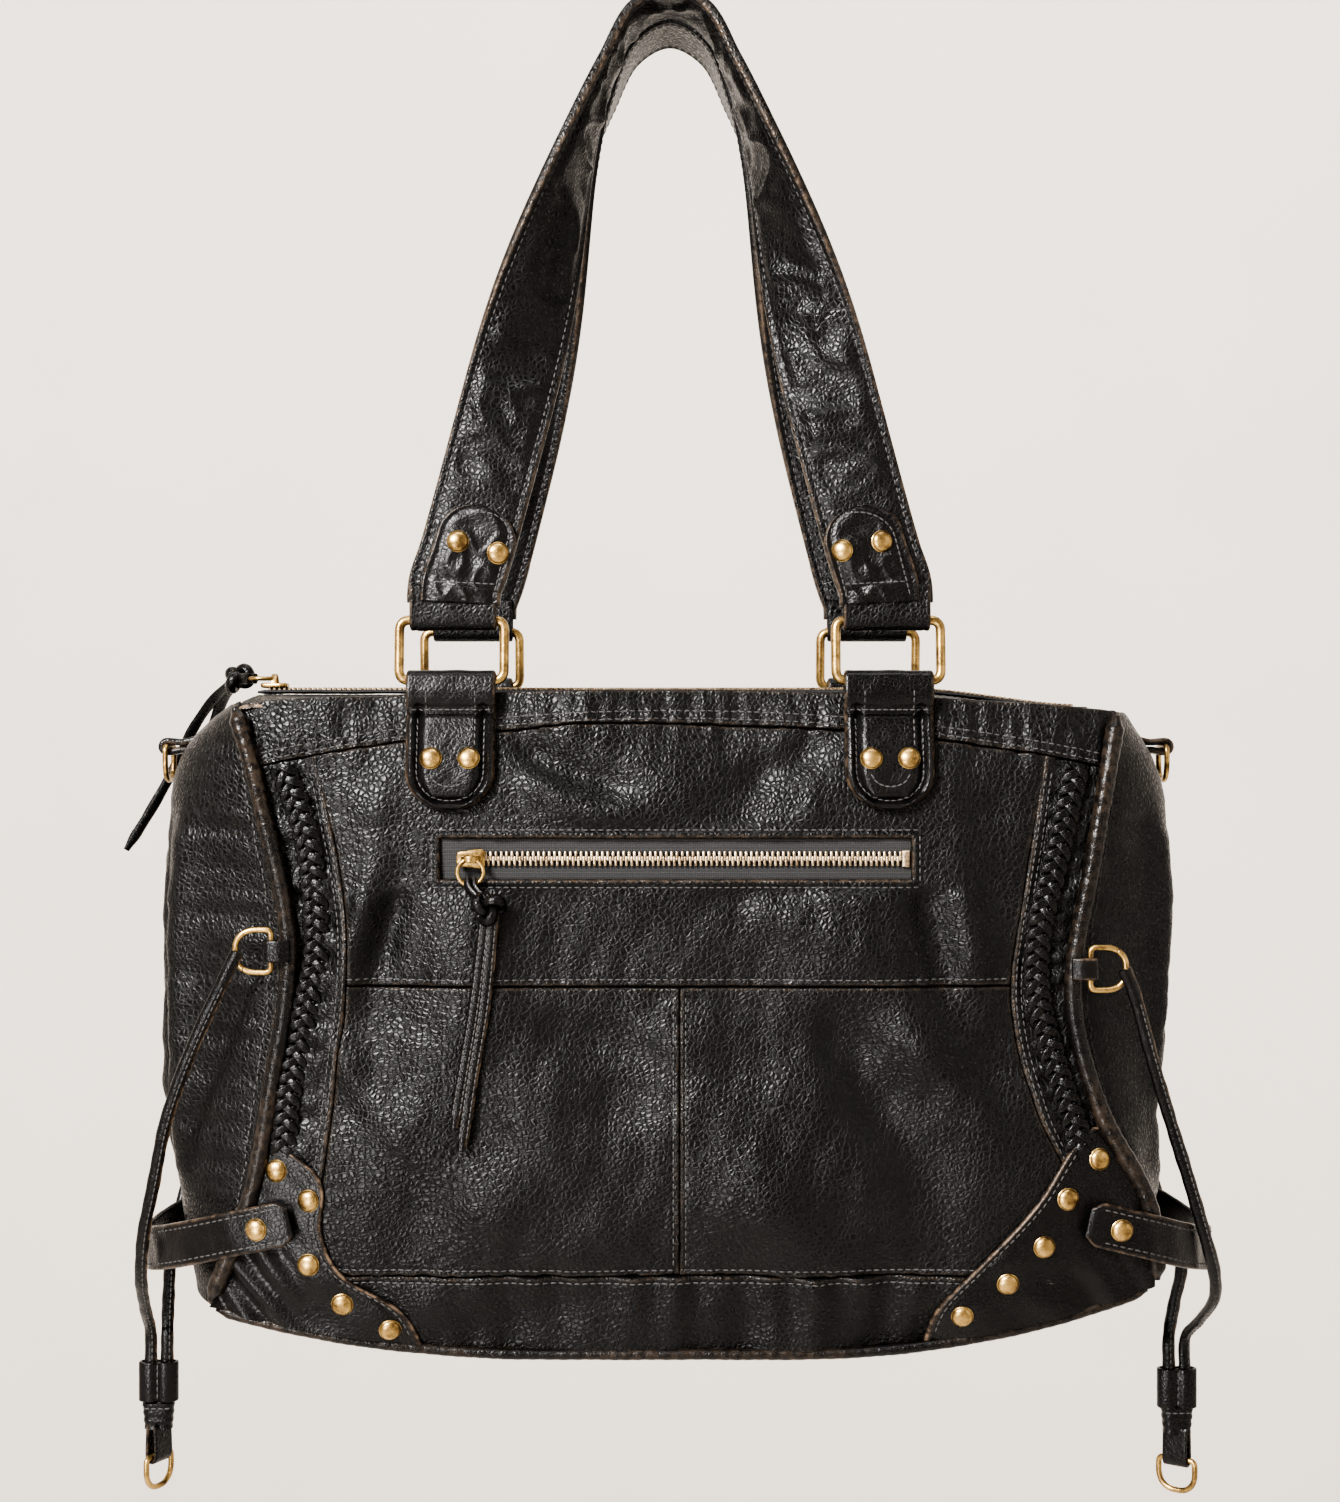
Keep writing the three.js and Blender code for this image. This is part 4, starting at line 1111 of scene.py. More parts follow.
def panel(name, side, s_range, top, bottom, counts, edges, seed, nodes, gathers=(0.8, 5.0, 6.0)):
    """A wall panel. `edges` gives, for left, right, top and bottom, the stitch rows' distances in mm,
    and `gathers` the height, size and reach of the gathers along a sewn edge."""
    mid = (float(top(0)) + float(bottom(0))) / 2
    s_low, s_high = (s if callable(s) else level(s) for s in s_range)
    width = float((front_right_x(mid) - front_left_x(mid)) * (s_high(mid) - s_low(mid)) / 2)
    height = float(top(0) - bottom(0))
    U, V = np.meshgrid(lines(width, counts[0]), lines(height, counts[1]), indexing="ij")
    S = lerp(s_low(mid), s_high(mid), U)
    Z = lerp(top(S), bottom(S), V)
    S = lerp(s_low(Z), s_high(Z), U)
    points, out = wall_grid(S, Z, side)
    span = (front_right_x(Z) - front_left_x(Z)) * (s_high(Z) - s_low(Z)) / 2
    tall = top(S) - bottom(S)
    gaps = {"left": U * span, "right": (1 - U) * span, "top": V * tall, "bottom": (1 - V) * tall}
    lift, wear = 0 * Z, 0 * Z
    for key, distance in gaps.items():
        lift = lift - rolled(distance, 1.3) * 0.8
        wear = np.maximum(wear, 0.05 * hill(distance, 0.8, 0.5))
        for at in edges.get(key, ()):
            lift = lift - groove(distance, at)
        if edges.get(key):
            x, z = (points[..., 0], Z) if key in ("top", "bottom") else (Z, points[..., 0])
            lift = lift + pucker(x, z, distance, seed, *gathers)
    outer = points + out * lift[..., None]
    inner = points - out * WALL
    obj = shell(name, "bag_body", outer, inner, BODY, "body_leather", wear=wear, stands_for=nodes)
    surface = tree_of(obj)
    for key, rows in edges.items():
        for at in rows:
            t = np.linspace(0, 1, 60)
            if key in ("left", "right"):
                z = lerp(float(top(0)) - 4, float(bottom(0)) + 4, t)
                w = (front_right_x(z) - front_left_x(z)) * (s_high(z) - s_low(z)) / 2
                share = at / w if key == "left" else 1 - at / w
                s = lerp(s_low(z), s_high(z), share)
            else:
                s = lerp(s_low(mid), s_high(mid), lerp(3 / width, 1 - 3 / width, t))
                z = top(s) - at if key == "top" else bottom(s) + at
            sew("bag_body", surface, face_point(s, z, side), (0, side, 0))


INNER_S = 1 - 2 * STRIP_T
EDGE_S = 0.996
V_SEAM_X = 4.0


def middle_seam(z):
    return share_at(V_SEAM_X, z)


def just_below(line, drop=0.5):
    return lambda s: line(s) - drop


panel(
    "front_yoke_panel", FRONT, (-EDGE_S, EDGE_S), crest_z, yoke_z, (210, 5),
    {"bottom": (1.9, 5.2), "top": ()}, 31, ["front_yoke"], (1.1, 6.5, 14.0),
)
panel(
    "front_lower_left", FRONT, (-INNER_S, middle_seam), just_below(level(H_SEAM)), level(LOW_SEAM), (48, 40),
    {"top": (), "left": (), "right": (2.6,), "bottom": (2.6,)}, 32, ["front_lower_left_panel"],
)
panel(
    "front_lower_right", FRONT, (middle_seam, INNER_S), just_below(level(H_SEAM)), level(LOW_SEAM), (48, 40),
    {"left": (2.6,), "bottom": (2.6,)}, 33, ["front_lower_right_panel"],
)
panel(
    "front_band", FRONT, (-INNER_S, INNER_S), just_below(level(LOW_SEAM)), wall_end_z, (150, 9),
    {"top": (2.6,)}, 34, ["front_bottom_band"], (1.7, 11.0, 28.0),
)
panel(
    "rear_wall", BACK, (-EDGE_S, EDGE_S), crest_z, wall_end_z, (150, 110),
    {"top": (3.0,)}, 35, ["rear_panel"],
)


# ---------------------------------------------------------------- front upper panel with its zip window
def windowed_lines(width, count, hole_low, hole_high):
    """Places across a panel, in mm, close together at its edges and at a window's edges."""
    edge = np.array([0, *FINE])
    left = np.linspace(FINE[-1] + 1.5, hole_low - FINE[-1] - 1.5, count[0])
    middle = np.linspace(hole_low + 2, hole_high - 2, count[1])
    right = np.linspace(hole_high + FINE[-1] + 1.5, width - FINE[-1] - 1.5, count[2])
    low = [edge, left, hole_low - edge[::-1], middle, hole_high + edge, right, width - edge[::-1]]
    return np.concatenate(low)


def upper_panel():
    wide, tall = 280.0, 110.0  # nominal size, only for the spacing of the mesh's lines
    half_span = 142.0
    hole_x = [(x + half_span) / (2 * half_span) * wide for x in ZIP_X]
    hole_z = (46.0, 64.0)
    px = windowed_lines(wide, (12, 72, 12), *hole_x)
    pz = windowed_lines(tall, (14, 5, 16), *hole_z)
    U, V = np.meshgrid(px, pz, indexing="ij")
    z_high, z_low = ZIP_Z + ZIP_WINDOW / 2, ZIP_Z - ZIP_WINDOW / 2
    nominal = np.where(V < hole_z[0], lerp(-316, z_high, V / hole_z[0]), 0)
    between = lerp(z_high, z_low, (V - hole_z[0]) / (hole_z[1] - hole_z[0]))
    nominal = np.where((V >= hole_z[0]) & (V <= hole_z[1]), between, nominal)
    lower = lerp(z_low, H_SEAM, (V - hole_z[1]) / (tall - hole_z[1]))
    nominal = np.where(V > hole_z[1], lower, nominal)
    left, right = front_left_x(nominal), front_right_x(nominal)
    x_low, x_high = lerp(left, right, STRIP_T), lerp(left, right, 1 - STRIP_T)
    X = np.where(U < hole_x[0], lerp(x_low, ZIP_X[0], U / hole_x[0]), 0)
    over_hole = lerp(*ZIP_X, (U - hole_x[0]) / (hole_x[1] - hole_x[0]))
    X = np.where((U >= hole_x[0]) & (U <= hole_x[1]), over_hole, X)
    X = np.where(U > hole_x[1], lerp(ZIP_X[1], x_high, (U - hole_x[1]) / (wide - hole_x[1])), X)
    S = share_at(X, nominal)
    top = yoke_z(S) - 0.5
    Z = np.where(V < hole_z[0], lerp(top, z_high, V / hole_z[0]), nominal)
    points, out = wall_grid(share_at(X, Z), Z, FRONT)
    gaps = [X - x_low, x_high - X, top - Z, Z - H_SEAM]
    off_x = np.maximum(ZIP_X[0] - X, X - ZIP_X[1])
    off_z = np.maximum(z_low - Z, Z - z_high)
    hole_gap = np.hypot(np.maximum(off_x, 0), np.maximum(off_z, 0))
    lift, wear = 0 * Z, 0 * Z
    for distance in gaps:
        lift = lift - rolled(distance, 1.3) * 0.8
        wear = np.maximum(wear, 0.05 * hill(distance, 0.8, 0.5))
    lift = lift - rolled(hole_gap, 1.1) + 0.9 * hill(hole_gap, 1.6, 1.6) - groove(hole_gap, 3.6, 0.45, 0.8)
    wear = np.maximum(wear, 0.12 * hill(hole_gap, 0.7, 0.5))
    lift = lift - groove(gaps[3], 2.6)
    lift = lift + pucker(X, Z, gaps[3], 41) + pucker(X, Z, hole_gap, 42, 0.6, 7)
    lift = lift + pucker(X, Z, gaps[2], 43, 1.0, 6)
    keep = ~((hole_gap[:-1, :-1] < 1e-6) & (hole_gap[1:, 1:] < 1e-6))
    obj = shell(
        "front_upper", "bag_body", points + out * lift[..., None], points - out * WALL, BODY, "body_leather",
        keep=keep, wear=wear, stands_for=["front_upper_panel"],
    )
    surface = tree_of(obj)
    x = np.linspace(-140, 143, 80)
    row = face_point(share_at(x, H_SEAM + 2.6), H_SEAM + 2.6 + 0 * x, FRONT)
    sew("bag_body", surface, row, (0, -1, 0))
    gap = 3.6  # of the stitches round the window
    for z in (z_high + gap, z_low - gap):
        x = np.linspace(ZIP_X[0] - gap, ZIP_X[1] + gap, 60)
        sew("bag_body", surface, face_point(share_at(x, z), z + 0 * x, FRONT), (0, -1, 0))
    for x in (ZIP_X[0] - gap, ZIP_X[1] + gap):
        z = np.linspace(z_high + gap - 2, z_low - gap + 2, 10)
        sew("bag_body", surface, face_point(share_at(x, z), z, FRONT), (0, -1, 0))


upper_panel()

# ---------------------------------------------------------------- zips
TOOTH_PITCH = 2.25


def droop(x):
    """How far the zipped top sags towards its ends."""
    return 7.5 * ease(x, 105, 186) + 1.5 * ease(-x, 178, 188)


def tooth(facing):
    """One metal tooth along z, its hooked end up or down."""
    half = rounded_box(1.25, 1.9, 0.4, 2)
    path = np.array([(0, 0, z) for z in (-2.7, -2.4, 0.7, 1.3, 1.6)])
    section = np.array([half * k for k in (0.75, 1.0, 1.0, 0.85, 0.45)])
    side, up = np.tile(vec(1, 0, 0), (5, 1)), np.tile(vec(0, 1, 0), (5, 1))
    return sweep(path * vec(1, 1, facing), side, up, section)


def tape_patch(name, body, xs, ys_or_zs, upright, node, thick=0.9):
    """A strip of zip tape with a woven rib along it."""
    U, V = np.meshgrid(xs, ys_or_zs, indexing="ij")
    rib = 0.12 * np.sin(V * 2 * math.pi / 1.6) + 0.1 * ripple(U, V, 14, 61)
    if upright:
        front = np.stack([U, -57.2 - rib, V], axis=-1)
        back = front + vec(0, thick, 0)
    else:
        front = np.stack([U, V, PLACKET_Z[1] + 0.9 + rib - droop(U)], axis=-1)
        back = front - vec(0, 0, thick)
    return shell(name, body, front, back, TAPE, "zip_tape", stands_for=[node])


tape_patch(
    "front_zip_cloth", "bag_body", np.linspace(ZIP_X[0] - 5, ZIP_X[1] + 5, 100), np.linspace(-385, -360, 60),
    True, "front_zip_tape",
)
teeth = Bundle()
for i, x in enumerate(np.arange(SLIDER_X - 3, ZIP_X[1] - 3, TOOTH_PITCH / 2)):
    facing = 1 if i % 2 else -1
    verts, faces = tooth(facing)
    if facing < 0:
        faces = flipped(faces)
    teeth.add(verts + vec(x, -58.1, ZIP_Z - 0.45 * facing), faces)
verts, faces = capped_box(3.4, 7.5, 2.2, 0.8)
teeth.add(turned(verts, 0, math.pi / 2) + vec(ZIP_X[1] - 2.2, -58.0, ZIP_Z), faces)
teeth.make("front_zip_teeth", "bag_body", ZIP_METAL, "antique_brass", stands_for=["front_zip_tape"])


def placket_half(name, body, side):
    """One leather flap of the zipped top with its tape and teeth."""
    xs = np.linspace(*PLACKET_X, 90)
    ys = (-spread(33, 12) - 29.5)[::-1]
    U, V = np.meshgrid(xs, ys, indexing="ij")
    share = (V + PLACKET_Y) / PLACKET_Y
    base = lerp(PLACKET_Z[0] - 1.5, PLACKET_Z[1], np.sin(np.clip(share, 0, 1) * math.pi / 2)) - 0.4
    base = base - droop(U)
    gap = np.minimum(V + 46, -13 - V)
    ends = np.minimum(U - PLACKET_X[0], PLACKET_X[1] - U)
    lift = -rolled(np.maximum(gap, 0), 1.2) - rolled(np.maximum(ends, 0), 1.0) - groove(-13 - V, 3.0)
    lift = lift + 0.5 * ripple(U, V, 46, 71 + side) * np.clip(gap / 8, 0, 1)
    top = np.stack([U, V * -side, base + lift], axis=-1)
    under_side = np.stack([U, V * -side, base - 1.6], axis=-1)
    flap = shell(
        f"{name}_flap", body, top, under_side, BODY, "body_leather", wear=0.5 * hill(gap, 0.4, 0.8),
        stands_for=[name],
    )
    sew(body, tree_of(flap), [(x, 16 * side, -301 - droop(x)) for x in np.linspace(-183, 185, 60)], (0, 0, 1))
    cloth = np.linspace(-15.5, -1.7, 40) * -side
    tape_patch(f"{name}_tape", body, np.linspace(-182, 184, 120), cloth, False, name)
    chain = Bundle()
    start = TOP_SLIDER_X - 2 + (0 if side < 0 else TOOTH_PITCH / 2)
    for x in np.arange(start, PLACKET_X[1] - 8, TOOTH_PITCH):
        verts, faces = tooth(1)
        verts = turned(verts, 0, -math.pi / 2 * -side)
        chain.add(verts + vec(x, 0.5 * side, PLACKET_Z[1] + 1.5 - droop(x)), faces)
    chain.make(f"{name}_teeth", body, ZIP_METAL, "antique_brass", stands_for=[name])


placket_half("front_placket", "front_placket", FRONT)
placket_half("rear_placket", "rear_placket", BACK)

# ---------------------------------------------------------------- side strips with their laced braid
BRAID = {
    LEFT: profile(
        (-333, -165.5), (-358, -156), (-381, -151.5), (-414, -150), (-435, -154), (-470, -161), (-493, -163)
    ),
    RIGHT: profile(
        (-331, 174), (-347, 170), (-381, 162), (-399, 157), (-427, 155.5), (-458, 162.5), (-488, 172)
    ),
}


def gathered_strip(side, name):
    """The narrow strip beside the piping, gathered into small cross folds under the braid."""
    s_low, s_high = (-EDGE_S, -INNER_S) if side == LEFT else (INNER_S, EDGE_S)
    width, height = 21.0, 250.0
    U, V = np.meshgrid(lines(width, 8), lines(height, 190), indexing="ij")
    S = lerp(s_low, s_high, U)
    Z = lerp(yoke_z(S) - 0.5, wall_end_z(S), V)
    points, out = wall_grid(S, Z, FRONT)
    across = np.minimum(U, 1 - U) * width
    inner_gap = (1 - U if side == LEFT else U) * width
    x = points[..., 0]
    beside = np.abs(x - BRAID[side](Z))
    folds = 1.2 * ripple(Z, x * 0.22, 7.5, 81 + side) * ease(inner_gap, 3.5, 6) * ease(across, 0.5, 3)
    lift = folds - rolled(across, 1.3) * 0.8 - groove(inner_gap, 4.2, 0.6, 0.8) - 0.8 * hill(beside, 6.4, 1.2)
    wear = 0.1 * hill(across, 0.8, 0.5)
    obj = shell(
        f"{name}_strip", "bag_body", points + out * lift[..., None], points - out * WALL, BODY,
        "body_leather", wear=wear, stands_for=[f"{name}_gathered_strip"],
    )
    surface = tree_of(obj)
    z = np.linspace(-336, -548, 80)
    for gap in (1.9, 4.2):
        width_at = front_right_x(z) - front_left_x(z)
        s = (s_high if side == LEFT else s_low) + side * 2 * gap / width_at
        sew("bag_body", surface, face_point(s, z, FRONT), (0, -1, 0))


def braid(side, name):
    """Flat thongs laced over each other in a plait of three strands."""
    parts = Bundle()
    z = np.linspace(-334, -497, 420)
    middle = face_point(share_at(BRAID[side](z), z), z, FRONT)
    stand = stand_off(middle[:, 0], z, FRONT)
    _, across, out = transported(middle, (1, 0, 0))
    if np.mean(out[:, 1]) > 0:
        out = -out
    length = lengths(middle)
    for strand in range(3):
        phase = 2 * math.pi * (length / 17.0 + strand / 3)
        path = middle + across * (4.1 * np.sin(phase))[:, None]
        path = path + out * (stand + 1.25 + 0.95 * np.sin(2 * phase + 0.6))[:, None]
        run = transported(path, (0, -1, 0))[0]
        outward = unit(out - run * np.sum(out * run, axis=1, keepdims=True))
        parts.add(*sweep(path, np.cross(run, outward), outward, rounded_box(3.7, 1.9, 0.85, 3)))
    stands = [f"{name}_gathered_strip"]
    parts.make(f"{name}_braid", "bag_body", TRIM, "trim_leather", stands_for=stands, sharp=70)


for side, name in ((LEFT, "left"), (RIGHT, "right")):
    gathered_strip(side, name)
    braid(side, name)

# ---------------------------------------------------------------- gussets, base and piping
GUSSET_Q = (0.006, 0.994)


def gusset_slump(q, z, side):
    fold = 4.2 * hill(q, 0.24 + 0.03 * np.sin(z / 40), 0.055) * hill(z, -425, 95)
    fold = fold - 4.0 * hill(q, 0.36 + 0.03 * np.sin(z / 33), 0.05) * hill(z, -430, 110)
    fold = fold + 3.0 * hill(q, 0.66 - 0.04 * np.sin(z / 37), 0.08) * hill(z, -400, 90)
    soft = 1.0 * ripple(q * 110, z, 60, 91 + side) + 0.5 * ripple(q * 110, z, 22, 93 + side)
    free = ease(q, 0.04, 0.16) * (1 - ease(q, 0.84, 0.96)) * ease(-z, 340, 372) * (1 - ease(-z, 500, 530))
    return FOLD_GAIN * (fold + soft) * free


def gusset(side, name):
    U, V = np.meshgrid(lines(100, 50), lines(270, 110), indexing="ij")
    q = lerp(*GUSSET_Q, U)
    s = float(side)
    z = lerp(float(crest_z(s)), float(wall_end_z(s)), V)
    points = gusset_point(q, z, side)
    out = normals(points, (side, 0, 0))
    gap = np.minimum(U, 1 - U) * 100
    ends = np.minimum(V, 1 - V) * 270
    lift = gusset_slump(q, z, side) - 0.8 * rolled(gap, 1.3) - 0.8 * rolled(ends, 1.3) - groove(gap, 2.8)
    lift = lift + 1.5 * ripple(z, q * 18, 11, 95) * np.exp(-gap / 22) * ease(gap, 1, 6)
    obj = shell(
        f"{name}_side", "bag_body", points + out * lift[..., None], points - out * WALL, BODY, "body_leather",
        wear=0.1 * hill(gap, 0.7, 0.5), stands_for=[f"{name}_gusset"],
    )
    surface = tree_of(obj)
    zs = np.linspace(-312, -552, 90)
    for q_row in (GUSSET_Q[0] + 0.028, GUSSET_Q[1] - 0.028):
        sew("bag_body", surface, gusset_point(q_row + 0 * zs, zs, side), (side, 0, 0))


for side, name in ((LEFT, "left"), (RIGHT, "right")):
    gusset(side, name)


def base():
    U, V = np.meshgrid(lines(410, 100), lines(104, 30), indexing="ij")
    s = 1.96 * U - 0.98
    rim_z = wall_end_z(s)
    x = lerp(front_left_x(rim_z) + 2, front_right_x(rim_z) - 2, (s + 1) / 2)
    depth = half_depth(rim_z) - 2 + crown(rim_z) * (1 - s**4)
    y = lerp(-depth, depth, V)
    z = BASE_Z + base_rise(s) + 0 * V
    gap = np.minimum(np.minimum(U, 1 - U) * 410, np.minimum(V, 1 - V) * 104)
    lift = 0.5 * ripple(x, y, 60, 97) * ease(gap, 3, 14) - 0.8 * rolled(gap, 1.3)
    low = np.stack([x, y, z - lift], axis=-1)
    high = np.stack([x, y, z + WALL], axis=-1)
    shell("base", "bag_body", low, high, BODY, "body_leather", stands_for=["bottom_panel"])


base()


SIDE_PIPING_R, BASE_PIPING_R = 3.8, 2.3


def piping_tube(name, path, node, radius):
    """A covered cord: a round rim wrapped in leather, with small puckers."""
    _, side, up = transported(path, (0, -1, 0))
    run = lengths(path)
    wrap = 1 + 0.03 * np.sin(run / 0.9 + 1.6 * np.sin(run / 9))
    wrap = wrap + 0.05 * np.sin(run / 5.3) * np.sin(run / 13 + 1)
    wrap = wrap * (0.4 + 0.6 * ease(np.minimum(run, run[-1] - run), 0, 6))
    verts, faces = sweep(path, side, up, circle(radius, 14)[None] * wrap[:, None, None])
    wear = np.repeat(0.03 + 0.03 * np.sin(run / 17) * np.sin(run / 41 + 1), 14)
    stands = [node] if node else []
    make_mesh(name, "bag_body", verts, faces, TRIM, "trim_leather", wear=wear, stands_for=stands)


for side, name in ((LEFT, "left"), (RIGHT, "right")):
    z = np.linspace(float(crest_z(side)) - 2.5, float(wall_end_z(side)) + 3, 300)
    edge = front_left_x(z) if side == LEFT else front_right_x(z)
    line = np.stack([edge + side * 0.6, -2.8 - half_depth(z), z], axis=1)
    piping_tube(f"front_{name}_cord_piping", line, f"front_{name}_piping", SIDE_PIPING_R)
    piping_tube(f"rear_{name}_cord_piping", line * REAR, f"rear_{name}_piping", SIDE_PIPING_R)
for face_name, mirror in (("front", vec(1, 1, 1)), ("rear", REAR)):
    s = np.linspace(-0.985, 0.985, 360)
    z = wall_end_z(s)
    line = face_point(s, z, FRONT) + np.stack([0 * s, 0 * s + 0.4, 0 * s - 0.9], axis=1)
    piping_tube(f"{face_name}_base_piping", line * mirror, None, BASE_PIPING_R)

# ---------------------------------------------------------------- studded corner patches
CORNERS = {
    "left": {
        "side": LEFT,
        "top": -491.0,
        "edge": profile((-491, -168), (-507, -147), (-530, -146), (-548, -137), (-563, -113), (-584, -102)),
        "studs": [(-166, -504), (-152, -516), (-152, -543), (-138, -560), (-118, -571)],
    },
    "right": {
        "side": RIGHT,
        "top": -486.0,
        "edge": profile((-486, 178), (-496, 168), (-518, 153), (-547, 126), (-563, 112), (-584, 106)),
        "studs": [(181, -499), (167, -515), (157, -535), (142, -551), (123, -565)],
    },
}
PATCH_THICK = 1.9


def corner_patch(name, spec, mirror, face_name):
    side, edge = spec["side"], spec["edge"]
    U, V = np.meshgrid(lines(60, 26), lines(95, 44), indexing="ij")
    end = wall_end_z(side * 0.8)
    Z = lerp(spec["top"], float(end), V)
    S = lerp(side * EDGE_S, share_at(edge(Z), Z), U)
    end = wall_end_z(S) + 0.5
    Z = lerp(spec["top"], end, V)
    S = lerp(side * EDGE_S, share_at(edge(Z), Z), U)
    base_points, out = wall_grid(S, Z, FRONT)
    x = base_points[..., 0]
    gap_edge = np.abs(edge(Z) - x) * 0.8
    gap = np.minimum(gap_edge, spec["top"] - Z)
    lift = 0.45 + PATCH_THICK - rolled(gap, 1.3) - groove(gap_edge, 3.2, 0.4, 0.6)
    corner = hill(x, side * 185, 26) * hill(Z, -562, 34)
    wrinkles = 0.4 * ripple(x, Z, 20, 101 + side)
    wrinkles = wrinkles + 2.9 * corner * ripple(x + Z * 0.8, Z * 0.2, 12, 105)
    lift = lift + wrinkles * ease(gap, 2, 8)
    wear = 0.35 * hill(gap, 0.5, 0.45)
    outer, inner = base_points + out * lift[..., None], base_points + out * 0.3
    node = f"{face_name}_{name}_corner_patch"
    obj = shell(
        f"{face_name}_{name}_corner", "bag_body", outer * mirror, inner * mirror, TRIM, "trim_leather",
        wear=wear, stands_for=[node],
    )
    surface = tree_of(obj)
    facing = vec(0, -1, 0) * mirror
    z = np.linspace(spec["top"] - 3.5, float(np.min(end)) + 4, 80)
    x = edge(z) + side * 3.6
    sew("bag_body", surface, face_point(share_at(x, z), z, FRONT) * mirror, facing)
    studs = Bundle()
    for x, z in spec["studs"]:
        stud(studs, surface, face_point(share_at(x, z), np.array(float(z)), FRONT) * mirror, facing)
    studs.make(f"{face_name}_{name}_corner_studs", "bag_body", BRASS, "antique_brass", stands_for=[node])


for name, spec in CORNERS.items():
    corner_patch(name, spec, vec(1, 1, 1), "front")
    corner_patch(name, spec, REAR, "rear")

# ---------------------------------------------------------------- side straps
SIDE_STRAPS = {
    "left": [(-159, -68.6, -524), (-171, -66.8, -527), (-187, -62, -531), (-204, -53, -536)]
    + [(-219, -39, -541), (-229.5, -20, -545), (-233, 0, -547)],
    "right": [(175, -69.4, -524), (187, -68.6, -527), (202, -65.5, -531), (216, -56, -536)]
    + [(229, -39, -541), (237, -19, -545), (239, 0, -547)],
}


def clipped_ends(run, total):
    """Half width of a side strap: 9.5 mm with clipped corners at both ends."""
    end = np.minimum(run, total - run)
    return 9.5 * np.minimum(1, 0.62 + 0.38 * end / 4.5)


for name, half in SIDE_STRAPS.items():
    line = catmull(mirrored(half), 170)
    side, node = (LEFT if name == "left" else RIGHT), f"{name}_side_strap"
    strap, out = band(
        f"{name}_end_strap", "bag_body", line, (0, 0, 1), 19, 2.4, TRIM, "trim_leather", count=8,
        shape=clipped_ends, stands_for=[node], facing=vec(side, -1, 0),
        relief=lambda off, run, edge: 0.25 * ripple(off, run, 14, 111) - groove(edge, 2.6, 0.3, 0.5),
    )
    surface = tree_of(strap)
    outward = out if np.mean(out[:, 0]) * side > 0 else -out
    wide = np.tile(vec(0, 0, 1), (len(line), 1))
    for shift in (-6.9, 6.9):
        sew("bag_body", surface, (line + wide * shift)[5:-5], outward[5:-5])
    studs = Bundle()
    for index in (11, -12):
        stud(studs, surface, line[index], outward[index])
    studs.make(f"{name}_end_strap_studs", "bag_body", BRASS, "antique_brass", stands_for=[node])


# ---------------------------------------------------------------- padded tabs that hold the strap rings
TAB_WIDTH, TAB_LOW_Z, TAB_THICK = 38.0, -352.0, 3.4
TAB_ROUND_Z = TAB_LOW_Z + TAB_WIDTH / 2 * 0.85


def clear_y(side, z):
    x = side * (RING_X - TAB_WIDTH / 2)
    return float(face_point(share_at(x, z), np.array(float(z)), FRONT)[1]) - 0.65


def round_bar(y0, z0, degrees):
    """Points in YZ on the loop of leather round a ring's bar."""
    loop = RING_WIRE + 2.0
    angles = [math.radians(d) for d in degrees]
    return [(y0 + loop * math.cos(a), z0 + loop * math.sin(a)) for a in angles]


